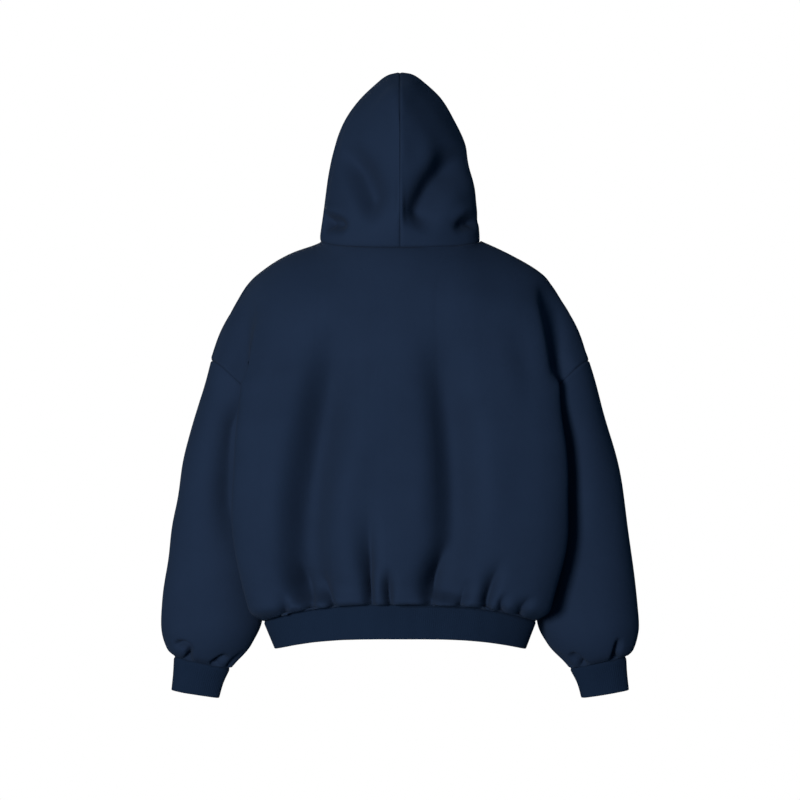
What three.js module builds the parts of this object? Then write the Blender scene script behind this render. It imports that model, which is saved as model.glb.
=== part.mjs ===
// A pullover hoodie in heavy fleece, filled out as it is worn, with nobody in it.
// Millimetres, +Z up. The front faces -Y, the back +Y, and the origin is the middle of the neck
// at the height where the shoulders carry it. Each cloth piece is a thin closed wall.
import * as THREE from "three";

const FLEECE = 2.4; // cloth thickness
const RIB = 3.2; // doubled rib of the band and the cuffs
const SEAM_GAP = 0.42; // between two pieces that are sewn together

// The neck seam, seen from above: an oval whose front drops lower than its back.
const NECK = {
  halfWidth: 128,
  middleY: -4,
  backReach: 86,
  frontReach: 96,
  backDrop: 10,
  frontDrop: 85,
  frontCurve: 1.6,
};

// The shoulder seam from the neck, over the dropped shoulder, to the armhole.
const SHOULDER = [
  { x: 128, y: -4, z: 0 },
  { x: 178, y: -5, z: -22 },
  { x: 233, y: -8, z: -57 },
  { x: 262, y: -10, z: -97 },
  { x: 284, y: -12, z: -140 },
  { x: 302, y: -14, z: -191 },
];

// The armhole: a slanted loop from the underarm, round the back and the front of the arm.
const ARMHOLE = {
  underarm: { x: 205, y: -28, z: -285 },
  outer: SHOULDER[SHOULDER.length - 1],
  backDepth: 60,
  frontDepth: 50,
  backRise: 10,
  frontRise: 8,
};

// The rib band at the hem: an oval ring whose two sides hang lower than its middle.
const BAND = {
  middleY: 4,
  backReach: 96,
  frontReach: 90,
  topHalfWidth: 219,
  bottomHalfWidth: 207,
  topZ: -576,
  bottomZ: -630,
  topSideDrop: 32,
  bottomSideDrop: 21,
};
// Where the key columns of the body meet the band, in degrees from the middle of each panel.
const BACK_HEM_ANGLES = [0, 17, 35, 56, 72, 85, 96, 107];
const FRONT_HEM_ANGLES = [0, 13, 27, 42, 53, 61, 67, 73];

// Level sections of the body from the band up to the underarm. The seam is the side seam, in the
// hollow where the sleeve lies. back and front hold the y of the panel's middle, and the x and y
// of its edge, the fullest place of its side. sideDrop is how much lower the edge hangs.
const TORSO = [
  { z: -561, sideDrop: 24, seamX: 211, seamY: -24, back: [124, 240, 56], front: [-112, 224, -90] },
  { z: -526, sideDrop: 14, seamX: 204, seamY: -28, back: [132, 251, 60], front: [-119, 229, -94] },
  { z: -470, sideDrop: 4, seamX: 198, seamY: -32, back: [131, 264, 64], front: [-121, 227, -97] },
  { z: -400, sideDrop: 0, seamX: 196, seamY: -33, back: [127, 266, 66], front: [-120, 225, -98] },
  { z: -340, sideDrop: 0, seamX: 198, seamY: -31, back: [123, 263, 67], front: [-118, 224, -98] },
  { z: -285, sideDrop: 0, seamX: 205, seamY: -28, back: [119, 257, 68], front: [-115, 224, -97] },
];
const SECTION_TURNS = [0, 14, 30, 60, 90]; // degrees of the key columns, from the middle to the edge
const FLATNESS = 0.8; // under 1, a section is flatter over its middle than an oval
const SIDE_SHARES = [0.37, 0.7, 1]; // the key columns' shares of the way from the edge to the seam
const SIDE_HOLLOW = 9; // how far the side of the body bows in, between its edge and the side seam

// Sections above the underarm, from the middle of each panel to the armhole: x, y and z at each
// key column. climb is how far up the armhole the section ends, from 0 at the underarm to 1.
const KEY_COLUMNS = ["middle", "neck", "point", "flank", "edge", "hollow", "arm"];
const YOKE = [
  {
    climb: 0.4,
    back: {
      middle: [0, 115, -178],
      neck: [62, 113, -178],
      point: [124, 107, -180],
      flank: [200, 93, -188],
      edge: [247, 70, -208],
      hollow: [246, 52, -220],
      arm: [241, 42, -231],
    },
    front: {
      middle: [0, -113, -212],
      neck: [62, -112, -209],
      point: [124, -108, -202],
      flank: [188, -100, -200],
      edge: [224, -93, -212],
      hollow: [231, -84, -224],
      arm: [234, -77, -234],
    },
  },
  {
    climb: 0.75,
    back: {
      middle: [0, 106, -82],
      neck: [60, 103, -81],
      point: [118, 94, -80],
      flank: [182, 77, -90],
      edge: [232, 60, -116],
      hollow: [250, 37, -150],
      arm: [268, 31, -177],
    },
    front: {
      middle: [0, -109, -140],
      neck: [60, -106, -132],
      point: [116, -97, -114],
      flank: [177, -84, -107],
      edge: [225, -74, -126],
      hollow: [245, -58, -152],
      arm: [265, -54, -178],
    },
  },
];
// How far along the shoulder seam each key column ends, from the neck point to the armhole.
const SHOULDER_ENDS = [0, 0.2, 0.44, 0.62, 0.8, 1];
const NECK_COLUMNS = 2; // key column where the neck meets the shoulder
const SEAM_COLUMN = 7; // key column of the side seam and the armhole
const UNDERARM_ROW = TORSO.length; // the band is row 0
const TOP_ROW = TORSO.length + YOKE.length + 1;
const NECK_BLEND = 1.5; // key columns over which the shoulder's end differs from the neck's
const ARMHOLE_BLEND = 2; // key columns over which a panel is drawn onto the armhole's loop

// How finely the body is divided between one key column or row and the next.
const COLUMN_STEPS = [3, 3, 3, 3, 2, 2, 2];
const ROW_STEPS = [2, 2, 2, 2, 1, 1, 4, 4, 4];

// Sleeve sections, from below the armhole to the cuff seam: centre, half sizes across and front
// to back, and how far the outer side of the section is tilted up, in degrees.
const SLEEVE = [
  { x: 276, y: -26, z: -290, halfWidth: 56, halfDepth: 63, tilt: 32 },
  { x: 288, y: -33, z: -360, halfWidth: 62, halfDepth: 65, tilt: 20 },
  { x: 295, y: -40, z: -440, halfWidth: 69, halfDepth: 64, tilt: 13 },
  { x: 301, y: -47, z: -520, halfWidth: 75, halfDepth: 63, tilt: 10 },
  { x: 305, y: -52, z: -594, halfWidth: 80, halfDepth: 62, tilt: 9 },
  { x: 309, y: -56, z: -636, halfWidth: 78, halfDepth: 59, tilt: 9 },
  { x: 318, y: -59, z: -666, halfWidth: 61, halfDepth: 45, tilt: 10 },
  { x: 325, y: -60, z: -679, halfWidth: 42, halfDepth: 25, tilt: 12 },
];
const SLEEVE_STEPS = [2, 2, 2, 2, 2, 2, 2, 2];
// Gathers above the cuff: where round the sleeve (0 inner side, 0.5 back, 1 outer side, 1.5
// front), the section where the gather fades out, its depth, and half its width as a turn.
const SLEEVE_GATHERS = [
  { turn: 0.17, fadeRow: 6.2, depth: 8, halfTurn: 0.06 },
  { turn: 0.43, fadeRow: 5.6, depth: 9, halfTurn: 0.055 },
  { turn: 0.68, fadeRow: 5.2, depth: 11, halfTurn: 0.055 },
  { turn: 0.92, fadeRow: 6, depth: 7, halfTurn: 0.05 },
  { turn: 1.18, fadeRow: 5.4, depth: 9, halfTurn: 0.055 },
  { turn: 1.42, fadeRow: 5.8, depth: 8, halfTurn: 0.055 },
  { turn: 1.7, fadeRow: 5.2, depth: 10, halfTurn: 0.06 },
  { turn: 1.9, fadeRow: 6, depth: 7, halfTurn: 0.06 },
];
const GATHER_DEEPEST_ROW = SLEEVE.length - 1; // the section above the cuff seam
const CUFF = [
  SLEEVE[SLEEVE.length - 1],
  { x: 329.5, y: -63, z: -704, halfWidth: 39, halfDepth: 23, tilt: 10.5 },
  { x: 333, y: -66, z: -729, halfWidth: 37, halfDepth: 21, tilt: 9.5 },
];

// Sections of the hood from the neck seam (rise 0) to its top seam (rise 1): half width, where
// the centre seam, the widest place and the opening's edge stand, and how round the back is
// (2 is an oval, less is more like a wedge).
const HOOD = [
  { rise: 0, halfWidth: 128, seamY: 82, sideY: -4, edgeX: 0, edgeY: -100, roundness: 2 },
  { rise: 0.1, halfWidth: 125.5, seamY: 88, sideY: -6, edgeX: 30, edgeY: -105, roundness: 1.85 },
  { rise: 0.25, halfWidth: 122, seamY: 96, sideY: -8, edgeX: 62, edgeY: -109, roundness: 1.65 },
  { rise: 0.4, halfWidth: 116, seamY: 102, sideY: -8, edgeX: 82, edgeY: -111, roundness: 1.5 },
  { rise: 0.55, halfWidth: 107, seamY: 105, sideY: -8, edgeX: 89, edgeY: -112, roundness: 1.42 },
  { rise: 0.7, halfWidth: 90, seamY: 104, sideY: -6, edgeX: 78, edgeY: -110, roundness: 1.4 },
  { rise: 0.84, halfWidth: 65, seamY: 100, sideY: -4, edgeX: 54, edgeY: -105, roundness: 1.4 },
  { rise: 0.94, halfWidth: 38, seamY: 96, sideY: -2, edgeX: 30, edgeY: -99, roundness: 1.4 },
  { rise: 0.985, halfWidth: 20, seamY: 93, sideY: 0, edgeX: 15, edgeY: -94, roundness: 1.4 },
  { rise: 1, halfWidth: 0, seamY: 92, sideY: 0, edgeX: 0, edgeY: -92, roundness: 1.4 },
];
const HOOD_STEPS = [2, 2, 2, 2, 2, 2, 1, 1, 1];
// Height of the hood's top seam, from its back corner to the opening.
const HOOD_TOP = [184, 242, 270.5, 268, 250];

const FOLD_END = 0.15; // how much of a fold's fading out lies past each end of its line
// Folds pressed into the cloth: a fold runs through its points (x and z, seen from behind or in
// front), and its depth and half width are those at its deepest place. The last two of the back
// are the creases between the fullness of the body and the arms.
const BACK_FOLDS = [
  { depth: 13, halfWidth: 30, line: [[104, -130], [120, -240], [148, -420], [140, -560], [138, -590]] },
  { depth: 11, halfWidth: 30, line: [[-66, -140], [-82, -280], [-82, -440], [-66, -560], [-52, -590]] },
  { depth: 12, halfWidth: 14, line: [[230, -70], [242, -130], [249, -180], [254, -220]] },
  { depth: 15, halfWidth: 14, line: [[-230, -70], [-242, -130], [-249, -180], [-254, -220]] },
];
const HOOD_LEFT_FOLDS = [
  { depth: 9, halfWidth: 17, line: [[104, 160], [76, 100], [48, 44], [36, 16]] },
  { depth: 8, halfWidth: 10, line: [[128, 34], [108, 27], [92, 14]] },
];
const HOOD_RIGHT_FOLDS = [
  { depth: 12, halfWidth: 17, line: [[96, 186], [78, 104], [44, 64], [10, 28]] },
  { depth: 8, halfWidth: 10, line: [[128, 32], [106, 31], [86, 16]] },
];
const FRONT_FOLDS = [
  { depth: 11, halfWidth: 30, line: [[96, -190], [120, -320], [128, -460], [112, -595]] },
  { depth: 12, halfWidth: 32, line: [[-104, -180], [-126, -300], [-118, -450], [-96, -595]] },
];
// Gathers above the band: x at the band, x and z where the gather fades out, depth, half width.
const BACK_GATHERS = [
  { hemX: 178, topX: 186, topZ: -546, depth: 9, halfWidth: 8 },
  { hemX: 138, topX: 165, topZ: -520, depth: 14, halfWidth: 9 },
  { hemX: 100, topX: 129, topZ: -520, depth: 12, halfWidth: 8 },
  { hemX: 42, topX: 50, topZ: -440, depth: 14, halfWidth: 9 },
  { hemX: 15, topX: 18, topZ: -516, depth: 12, halfWidth: 8 },
  { hemX: -51, topX: -76, topZ: -490, depth: 14, halfWidth: 9 },
  { hemX: -98, topX: -114, topZ: -500, depth: 10, halfWidth: 8 },
  { hemX: -139, topX: -158, topZ: -492, depth: 14, halfWidth: 8 },
  { hemX: -163, topX: -168, topZ: -560, depth: 8, halfWidth: 6 },
  { hemX: -190, topX: -204, topZ: -566, depth: 9, halfWidth: 7 },
];
const FRONT_GATHERS = [
  { hemX: 172, topX: 184, topZ: -550, depth: 9, halfWidth: 8 },
  { hemX: 140, topX: 158, topZ: -515, depth: 12, halfWidth: 9 },
  { hemX: 92, topX: 106, topZ: -500, depth: 12, halfWidth: 9 },
  { hemX: 60, topX: 68, topZ: -530, depth: 10, halfWidth: 8 },
  { hemX: 14, topX: 10, topZ: -490, depth: 12, halfWidth: 9 },
  { hemX: -30, topX: -36, topZ: -525, depth: 10, halfWidth: 8 },
  { hemX: -72, topX: -84, topZ: -505, depth: 14, halfWidth: 9 },
  { hemX: -110, topX: -124, topZ: -530, depth: 10, halfWidth: 8 },
  { hemX: -150, topX: -170, topZ: -510, depth: 12, halfWidth: 9 },
  { hemX: -180, topX: -190, topZ: -560, depth: 8, halfWidth: 7 },
];
const GATHER_FADE_ROWS = 3; // rows over which the columns leave the gathers again

const HALF_TURN = Math.PI;
const { clamp, degToRad: radians, lerp, radToDeg: degrees, smoothstep } = THREE.MathUtils;
const vector = (p) => new THREE.Vector3(p.x, p.y, p.z);
const mirrored = (p, side) => new THREE.Vector3(p.x * side, p.y, p.z);

// A value of a table of numbers at a fractional place, on a smooth curve through its entries.
function along(values, place) {
  const i = Math.min(Math.floor(place), values.length - 2);
  const t = place - i;
  const [b, c] = [values[i], values[i + 1]];
  const a = i > 0 ? values[i - 1] : 2 * b - c;
  const d = i + 2 < values.length ? values[i + 2] : 2 * c - b;
  const bend = 2 * a - 5 * b + 4 * c - d;
  const twist = 3 * b - a - 3 * c + d;
  return b + 0.5 * t * (c - a + t * (bend + t * twist));
}

function alongPoints(points, place) {
  return new THREE.Vector3(
    along(points.map((p) => p.x), place),
    along(points.map((p) => p.y), place),
    along(points.map((p) => p.z), place),
  );
}

// Fractional places from 0 up, with the given number of steps between whole ones.
function places(steps) {
  const made = [0];
  steps.forEach((count, whole) => {
    for (let k = 1; k <= count; k++) made.push(whole + k / count);
  });
  return made;
}

// The neck seam, from the nape (turn 0) over the neck point (0.5) to the middle front (1).
function neckPoint(turn) {
  const share = Math.cos(turn * HALF_TURN);
  const x = NECK.halfWidth * Math.sin(turn * HALF_TURN);
  const y = NECK.middleY + share * (share > 0 ? NECK.backReach : NECK.frontReach);
  const z = share > 0 ? -NECK.backDrop * share : -NECK.frontDrop * (-share) ** NECK.frontCurve;
  return new THREE.Vector3(x, y, z);
}

const shoulderSeam = new THREE.CatmullRomCurve3(SHOULDER.map(vector));

// The armhole from the underarm (climb 0) to the outer arm (climb 1), on the back or the front.
function armholePoint(climb, isBack) {
  const low = vector(ARMHOLE.underarm);
  const high = vector(ARMHOLE.outer);
  const middle = low.clone().add(high).multiplyScalar(0.5);
  const half = low.sub(middle);
  const bulge = Math.sin(climb * HALF_TURN);
  const made = middle.addScaledVector(half, Math.cos(climb * HALF_TURN));
  made.y += bulge * (isBack ? ARMHOLE.backDepth : -ARMHOLE.frontDepth);
  made.z += bulge * (isBack ? ARMHOLE.backRise : ARMHOLE.frontRise);
  return made;
}

// The band's top (fall 0) to bottom (fall 1), at an angle from the middle back.
function bandPoint(angle, fall) {
  const sine = Math.sin(radians(angle));
  const cosine = Math.cos(radians(angle));
  const halfWidth = lerp(BAND.topHalfWidth, BAND.bottomHalfWidth, fall);
  const drop = lerp(BAND.topSideDrop, BAND.bottomSideDrop, fall) * Math.abs(sine) ** 3;
  return new THREE.Vector3(
    halfWidth * sine,
    BAND.middleY + cosine * (cosine > 0 ? BAND.backReach : BAND.frontReach),
    lerp(BAND.topZ, BAND.bottomZ, fall) - drop,
  );
}

function hemAngle(column, isBack) {
  return isBack ? along(BACK_HEM_ANGLES, column) : 180 - along(FRONT_HEM_ANGLES, column);
}

// The key points of a level section below the underarm, from the middle to the side seam.
function torsoKeys(section, isBack) {
  const [middleY, edgeX, edgeY] = isBack ? section.back : section.front;
  const round = SECTION_TURNS.map((angle) => [
    edgeX * Math.sin(radians(angle)),
    edgeY + (middleY - edgeY) * Math.max(0, Math.cos(radians(angle))) ** FLATNESS,
  ]);
  const inward = SIDE_SHARES.map((share) => [
    lerp(edgeX, section.seamX, share) - SIDE_HOLLOW * Math.sin(share * HALF_TURN),
    lerp(edgeY, section.seamY, share),
  ]);
  return [...round, ...inward].map(([x, y]) => {
    const drop = section.sideDrop * (x / section.back[1]) ** 3;
    return new THREE.Vector3(x, y, section.z - drop);
  });
}

function yokeKeys(section, isBack) {
  const sheet = isBack ? section.back : section.front;
  const keys = KEY_COLUMNS.map((name) => new THREE.Vector3(...sheet[name]));
  return [...keys, armholePoint(section.climb, isBack)];
}

// The top of a panel: the neck seam, and then the shoulder seam.
function topPoint(column, isBack) {
  if (column <= NECK_COLUMNS) {
    const turn = (0.5 * column) / NECK_COLUMNS;
    return neckPoint(isBack ? turn : 1 - turn);
  }
  return shoulderSeam.getPointAt(clamp(along(SHOULDER_ENDS, column - NECK_COLUMNS), 0, 1));
}

const keySections = (isBack) => [
  ...TORSO.map((section) => torsoKeys(section, isBack)),
  ...YOKE.map((section) => yokeKeys(section, isBack)),
];
const BACK_SECTIONS = keySections(true);
const FRONT_SECTIONS = keySections(false);

// The key points of one panel at one column, from the hem to the top.
function columnPoints(column, isBack) {
  const sections = isBack ? BACK_SECTIONS : FRONT_SECTIONS;
  return [
    bandPoint(hemAngle(column, isBack), 0),
    ...sections.map((keys) => alongPoints(keys, column)),
    topPoint(column, isBack),
  ];
}

function climbAt(row) {
  return along([0, ...YOKE.map((section) => section.climb), 1], row - UNDERARM_ROW);
}

// A point of the smooth panel. Past the shoulder seam the other panel carries the curve on, at
// the neck the panel ends by itself, and at the armhole it follows the armhole's loop.
function smoothPoint(column, row, isBack) {
  const outwards = Math.abs(column);
  const points = columnPoints(outwards, isBack);
  const beyond = columnPoints(outwards, !isBack)[TOP_ROW - 1];
  const byItself = points[TOP_ROW].clone().multiplyScalar(2).sub(points[TOP_ROW - 1]);
  points.push(byItself.lerp(beyond, smoothstep(outwards, NECK_COLUMNS, NECK_COLUMNS + NECK_BLEND)));
  const made = alongPoints(points, row);
  if (row > UNDERARM_ROW && outwards > SEAM_COLUMN - ARMHOLE_BLEND) {
    const drawn = alongPoints(columnPoints(SEAM_COLUMN, isBack), row);
    const off = armholePoint(climbAt(row), isBack).sub(drawn);
    made.addScaledVector(off, smoothstep(outwards, SEAM_COLUMN - ARMHOLE_BLEND, SEAM_COLUMN));
  }
  return mirrored(made, column < 0 ? -1 : 1);
}

// How deep a fold is pressed in at a place, seen from the front or the back.
function foldDepth(fold, x, z) {
  let nearest = Infinity;
  let share = 0;
  const last = fold.line.length - 1;
  for (let i = 0; i < last; i++) {
    const [ax, az] = fold.line[i];
    const [bx, bz] = fold.line[i + 1];
    const [dx, dz] = [bx - ax, bz - az];
    const t = clamp(((x - ax) * dx + (z - az) * dz) / (dx * dx + dz * dz), 0, 1);
    const distance = Math.hypot(x - ax - t * dx, z - az - t * dz);
    if (distance < nearest) {
      nearest = distance;
      share = (i + t) / last;
    }
  }
  const fade = Math.sin(HALF_TURN * lerp(FOLD_END, 1 - FOLD_END, share)) ** 2;
  return fold.depth * fade * Math.exp(-((nearest / fold.halfWidth) ** 2));
}

function foldsDepth(folds, x, z) {
  return folds.reduce((sum, fold) => sum + foldDepth(fold, x, z), 0);
}

function gatherDepth(gather, x, z, hemZ) {
  const share = clamp((z - gather.topZ) / (hemZ - gather.topZ), 0, 1);
  const centre = lerp(gather.topX, gather.hemX, share);
  return gather.depth * share * Math.exp(-(((x - centre) / gather.halfWidth) ** 2));
}

// Shifts the columns near the hem, so that one runs down the middle of each gather.
function gatherShifts(columns, gathers, isBack) {
  const hemX = columns.map((c) => smoothPoint(c, 0, isBack).x);
  const shifts = columns.map(() => 0);
  for (const gather of gathers) {
    let nearest = 1;
    for (let j = 1; j < columns.length - 1; j++) {
      if (Math.abs(hemX[j] - gather.hemX) < Math.abs(hemX[nearest] - gather.hemX)) nearest = j;
    }
    const off = gather.hemX - hemX[nearest];
    const next = nearest + (off * (hemX[nearest + 1] - hemX[nearest]) > 0 ? 1 : -1);
    const share = off / (hemX[next] - hemX[nearest]);
    shifts[nearest] = clamp(share, 0, 0.5) * (columns[next] - columns[nearest]);
  }
  return shifts;
}

const ROWS = places(ROW_STEPS);
const HALF_COLUMNS = places(COLUMN_STEPS);
const COLUMNS = [...HALF_COLUMNS.slice(1).reverse().map((c) => -c), ...HALF_COLUMNS];
const MIDDLE = HALF_COLUMNS.length - 1;
const UNDERARM = ROWS.indexOf(UNDERARM_ROW);
const NECK_STEPS = HALF_COLUMNS.indexOf(NECK_COLUMNS);

// The outer points of the back or the front, row by row from the hem, with its folds.
function bodySheet(isBack) {
  const folds = isBack ? BACK_FOLDS : FRONT_FOLDS;
  const gathers = isBack ? BACK_GATHERS : FRONT_GATHERS;
  const shifts = gatherShifts(COLUMNS, gathers, isBack);
  const smallStep = 0.05;
  return ROWS.map((row) =>
    COLUMNS.map((plain, j) => {
      const column = plain + shifts[j] * clamp(1 - row / GATHER_FADE_ROWS, 0, 1);
      const point = smoothPoint(column, row, isBack);
      const onEdge = row === 0 || row === TOP_ROW || Math.abs(plain) === SEAM_COLUMN;
      if (onEdge) return point;
      const across = smoothPoint(column + smallStep, row, isBack).sub(point);
      const up = smoothPoint(column, row + smallStep, isBack).sub(point);
      const outward = across.cross(up).normalize().multiplyScalar(isBack ? -1 : 1);
      let depth = foldsDepth(folds, point.x, point.z);
      const hemZ = BAND.topZ - BAND.topSideDrop * Math.abs(point.x / BAND.topHalfWidth) ** 3;
      for (const gather of gathers) depth += gatherDepth(gather, point.x, point.z, hemZ);
      return point.addScaledVector(outward, -depth);
    }),
  );
}

// A point of a sleeve or cuff section. Turn runs from the inner side, round the back, the outer
// side and the front, from 0 to 2.
function tubePoint(section, turn) {
  const across = -Math.cos(turn * HALF_TURN) * section.halfWidth;
  const deep = Math.sin(turn * HALF_TURN) * section.halfDepth;
  const tilt = radians(section.tilt);
  const x = section.x + across * Math.cos(tilt);
  return new THREE.Vector3(x, section.y + deep, section.z + across * Math.sin(tilt));
}

function sleeveGatherDepth(turn, row) {
  if (row === SLEEVE.length) return 0;
  return SLEEVE_GATHERS.reduce((sum, gather) => {
    const share = clamp((row - gather.fadeRow) / (GATHER_DEEPEST_ROW - gather.fadeRow), 0, 1);
    const off = (turn - gather.turn) / gather.halfTurn;
    return sum + gather.depth * share * Math.exp(-off * off);
  }, 0);
}

function sleeveSheet(side, armhole, turns) {
  const centres = [SLEEVE[0], ...SLEEVE];
  const lines = turns.map((turn, j) => [
    mirrored(armhole[j], side),
    ...SLEEVE.map((section) => tubePoint(section, turn)),
  ]);
  return places(SLEEVE_STEPS).map((row) => {
    if (row === 0) return armhole;
    const centre = alongPoints(centres, row);
    return lines.map((line, j) => {
      const point = alongPoints(line, row);
      const outward = point.clone().sub(centre).normalize();
      return mirrored(point.addScaledVector(outward, -sleeveGatherDepth(turns[j], row)), side);
    });
  });
}

function cuffSheet(side, seam, turns) {
  const lines = turns.map((turn) => CUFF.map((section) => tubePoint(section, turn)));
  return [0, 1, 2].map((row) => (row === 0 ? seam : lines.map((line) => mirrored(line[row], side))));
}

const NECK_POINT_REACH = 0.5; // how far round the hood the neck point is
// The hood's points: reach runs from the centre seam at the back (0) to the opening's edge (1).
function hoodPoint(reach, row) {
  const at = (name) => along(HOOD.map((section) => section[name]), row);
  const neck = neckPoint(reach);
  const sine = Math.sin(reach * HALF_TURN);
  const cosine = Math.cos(reach * HALF_TURN);
  const top = along(HOOD_TOP, reach * (HOOD_TOP.length - 1));
  const z = lerp(neck.z, top, at("rise"));
  if (cosine > 0) {
    const power = 2 / at("roundness");
    const x = at("halfWidth") * sine ** power;
    return new THREE.Vector3(x, at("sideY") + (at("seamY") - at("sideY")) * cosine ** power, z);
  }
  const x = at("edgeX") + (at("halfWidth") - at("edgeX")) * sine;
  return new THREE.Vector3(x, at("sideY") + (at("sideY") - at("edgeY")) * cosine, z);
}

function hoodSheet(side, seam, reaches) {
  const folds = side > 0 ? HOOD_LEFT_FOLDS : HOOD_RIGHT_FOLDS;
  const last = HOOD.length - 1;
  const smallStep = 0.02;
  return places(HOOD_STEPS).map((row) => {
    if (row === 0) return seam;
    return reaches.map((reach) => {
      const point = hoodPoint(reach, row);
      const foldless = reach === 0 || reach > NECK_POINT_REACH || row === last;
      if (foldless) return mirrored(point, side);
      const across = hoodPoint(reach + smallStep, row).sub(point);
      const outward = hoodPoint(reach, row + smallStep).sub(point).cross(across).normalize();
      const depth = foldsDepth(folds, point.x, point.z);
      return mirrored(point.addScaledVector(outward, -depth), side);
    });
  });
}

// Unit normals of a sheet's own faces at each of its points.
function sheetNormals(sheet) {
  const { rows, wrap, outward } = sheet;
  const width = rows[0].length;
  const normals = rows.map((row) => row.map(() => new THREE.Vector3()));
  for (let i = 0; i + 1 < rows.length; i++) {
    for (let j = 0; j < (wrap ? width : width - 1); j++) {
      const k = (j + 1) % width;
      const rising = rows[i + 1][k].clone().sub(rows[i][j]);
      const falling = rows[i + 1][j].clone().sub(rows[i][k]);
      const normal = rising.cross(falling).multiplyScalar(outward);
      const corners = [normals[i][j], normals[i][k], normals[i + 1][j], normals[i + 1][k]];
      for (const corner of corners) corner.add(normal);
    }
  }
  return normals.map((row) => row.map((n) => n.normalize()));
}

// The step in from a seam that is one thickness away from all the cloths that meet there.
function seamStep(normals) {
  const softening = 0.1;
  const sum = new THREE.Vector3();
  const spread = new THREE.Matrix3().set(softening, 0, 0, 0, softening, 0, 0, 0, softening);
  for (const n of normals) {
    sum.add(n);
    const axes = n.toArray();
    for (let k = 0; k < 9; k++) spread.elements[k] += axes[k % 3] * axes[Math.floor(k / 3)];
  }
  return sum.applyMatrix3(spread.invert());
}

// Pieces that are sewn together share the points of their seam, and so one step in there.
function shareSeamSteps(sheets) {
  const shared = new Map();
  for (const sheet of sheets) {
    sheet.normals = sheetNormals(sheet);
    sheet.rows.forEach((row, i) =>
      row.forEach((point, j) => {
        if (!shared.has(point)) shared.set(point, []);
        shared.get(point).push(sheet.normals[i][j]);
      }),
    );
  }
  for (const normals of shared.values()) {
    const step = normals.length > 1 ? seamStep(normals) : normals[0].clone();
    for (const n of normals) n.copy(step);
  }
}

// Draws the rim of a grid of points back from the seams.
function drawnBack(rows, wrap) {
  const last = { i: rows.length - 1, j: rows[0].length - 1 };
  const step = (from, to) => to.clone().sub(from).setLength(SEAM_GAP / 2);
  return rows.map((row, i) =>
    row.map((point, j) => {
      const made = point.clone();
      if (i === 0) made.add(step(point, rows[1][j]));
      if (i === last.i) made.add(step(point, rows[last.i - 1][j]));
      if (!wrap && j === 0) made.add(step(point, row[1]));
      if (!wrap && j === last.j) made.add(step(point, row[last.j - 1]));
      return made;
    }),
  );
}

// The closed wall between a sheet's outer points and the same points moved in by its thickness.
// outward is 1 where the sheet's rows and columns run so that its faces look out, and else -1.
function wallGeometry(sheet) {
  const { rows, wrap, outward, thickness, normals } = sheet;
  const height = rows.length;
  const width = rows[0].length;
  const [top, end] = [height - 1, width - 1];
  const inset = (point, i, j) => point.clone().addScaledVector(normals[i][j], -thickness);
  const inner = rows.map((row, i) => row.map((point, j) => inset(point, i, j)));
  const points = [...drawnBack(rows, wrap).flat(), ...drawnBack(inner, wrap).flat()];
  const sewn = [...rows.flat(), ...inner.flat()];
  const faces = [];
  const face = (a, b, c) => (outward > 0 ? faces.push(a, b, c) : faces.push(a, c, b));
  // Both pieces of a seam split its faces along the same, shorter diagonal.
  const quad = (a, b, c, d) => {
    const shortAC = sewn[a].distanceTo(sewn[c]) < sewn[b].distanceTo(sewn[d]);
    if (shortAC) {
      face(a, b, c);
      face(a, c, d);
    } else {
      face(a, b, d);
      face(b, c, d);
    }
  };
  const outerAt = (i, j) => i * width + (j % width);
  const innerAt = (i, j) => height * width + outerAt(i, j);
  const steps = wrap ? width : width - 1;
  for (let i = 0; i + 1 < height; i++) {
    for (let j = 0; j < steps; j++) {
      quad(outerAt(i, j), outerAt(i, j + 1), outerAt(i + 1, j + 1), outerAt(i + 1, j));
      quad(innerAt(i, j), innerAt(i + 1, j), innerAt(i + 1, j + 1), innerAt(i, j + 1));
    }
    if (!wrap) {
      quad(outerAt(i, 0), outerAt(i + 1, 0), innerAt(i + 1, 0), innerAt(i, 0));
      quad(outerAt(i + 1, end), outerAt(i, end), innerAt(i, end), innerAt(i + 1, end));
    }
  }
  for (let j = 0; j < steps; j++) {
    quad(outerAt(0, j + 1), outerAt(0, j), innerAt(0, j), innerAt(0, j + 1));
    quad(outerAt(top, j), outerAt(top, j + 1), innerAt(top, j + 1), innerAt(top, j));
  }
  const geometry = new THREE.BufferGeometry();
  const coordinates = points.flatMap((p) => p.toArray());
  geometry.setAttribute("position", new THREE.Float32BufferAttribute(coordinates, 3));
  geometry.setIndex(faces);
  geometry.computeVertexNormals();
  return geometry;
}

// Sews the sheets: pieces that meet are given the same point objects along their seam.
const back = bodySheet(true);
const front = bodySheet(false);
ROWS.forEach((row, i) => {
  COLUMNS.forEach((column, j) => {
    const sideSeam = i <= UNDERARM && Math.abs(column) === SEAM_COLUMN;
    const shoulder = row === TOP_ROW && Math.abs(column) >= NECK_COLUMNS;
    if (sideSeam || shoulder) front[i][j] = back[i][j];
  });
});

const sheets = [
  { name: "back", rows: back, outward: -1, kind: "fleece" },
  { name: "front", rows: front, outward: 1, kind: "fleece" },
];

const bandTop = [...back[0].slice(0, -1), ...front[0].slice(1).reverse()];
const bandAngles = bandTop.map((p) => {
  const cosine = (p.y - BAND.middleY) / (p.y > BAND.middleY ? BAND.backReach : BAND.frontReach);
  return degrees(Math.atan2(p.x / BAND.topHalfWidth, cosine));
});
const bandRows = [0, 0.5, 1].map((fall) =>
  fall === 0 ? bandTop : bandAngles.map((angle) => bandPoint(angle, fall)),
);
sheets.push({ name: "hem_band", rows: bandRows, wrap: true, outward: 1, kind: "rib" });

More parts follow.
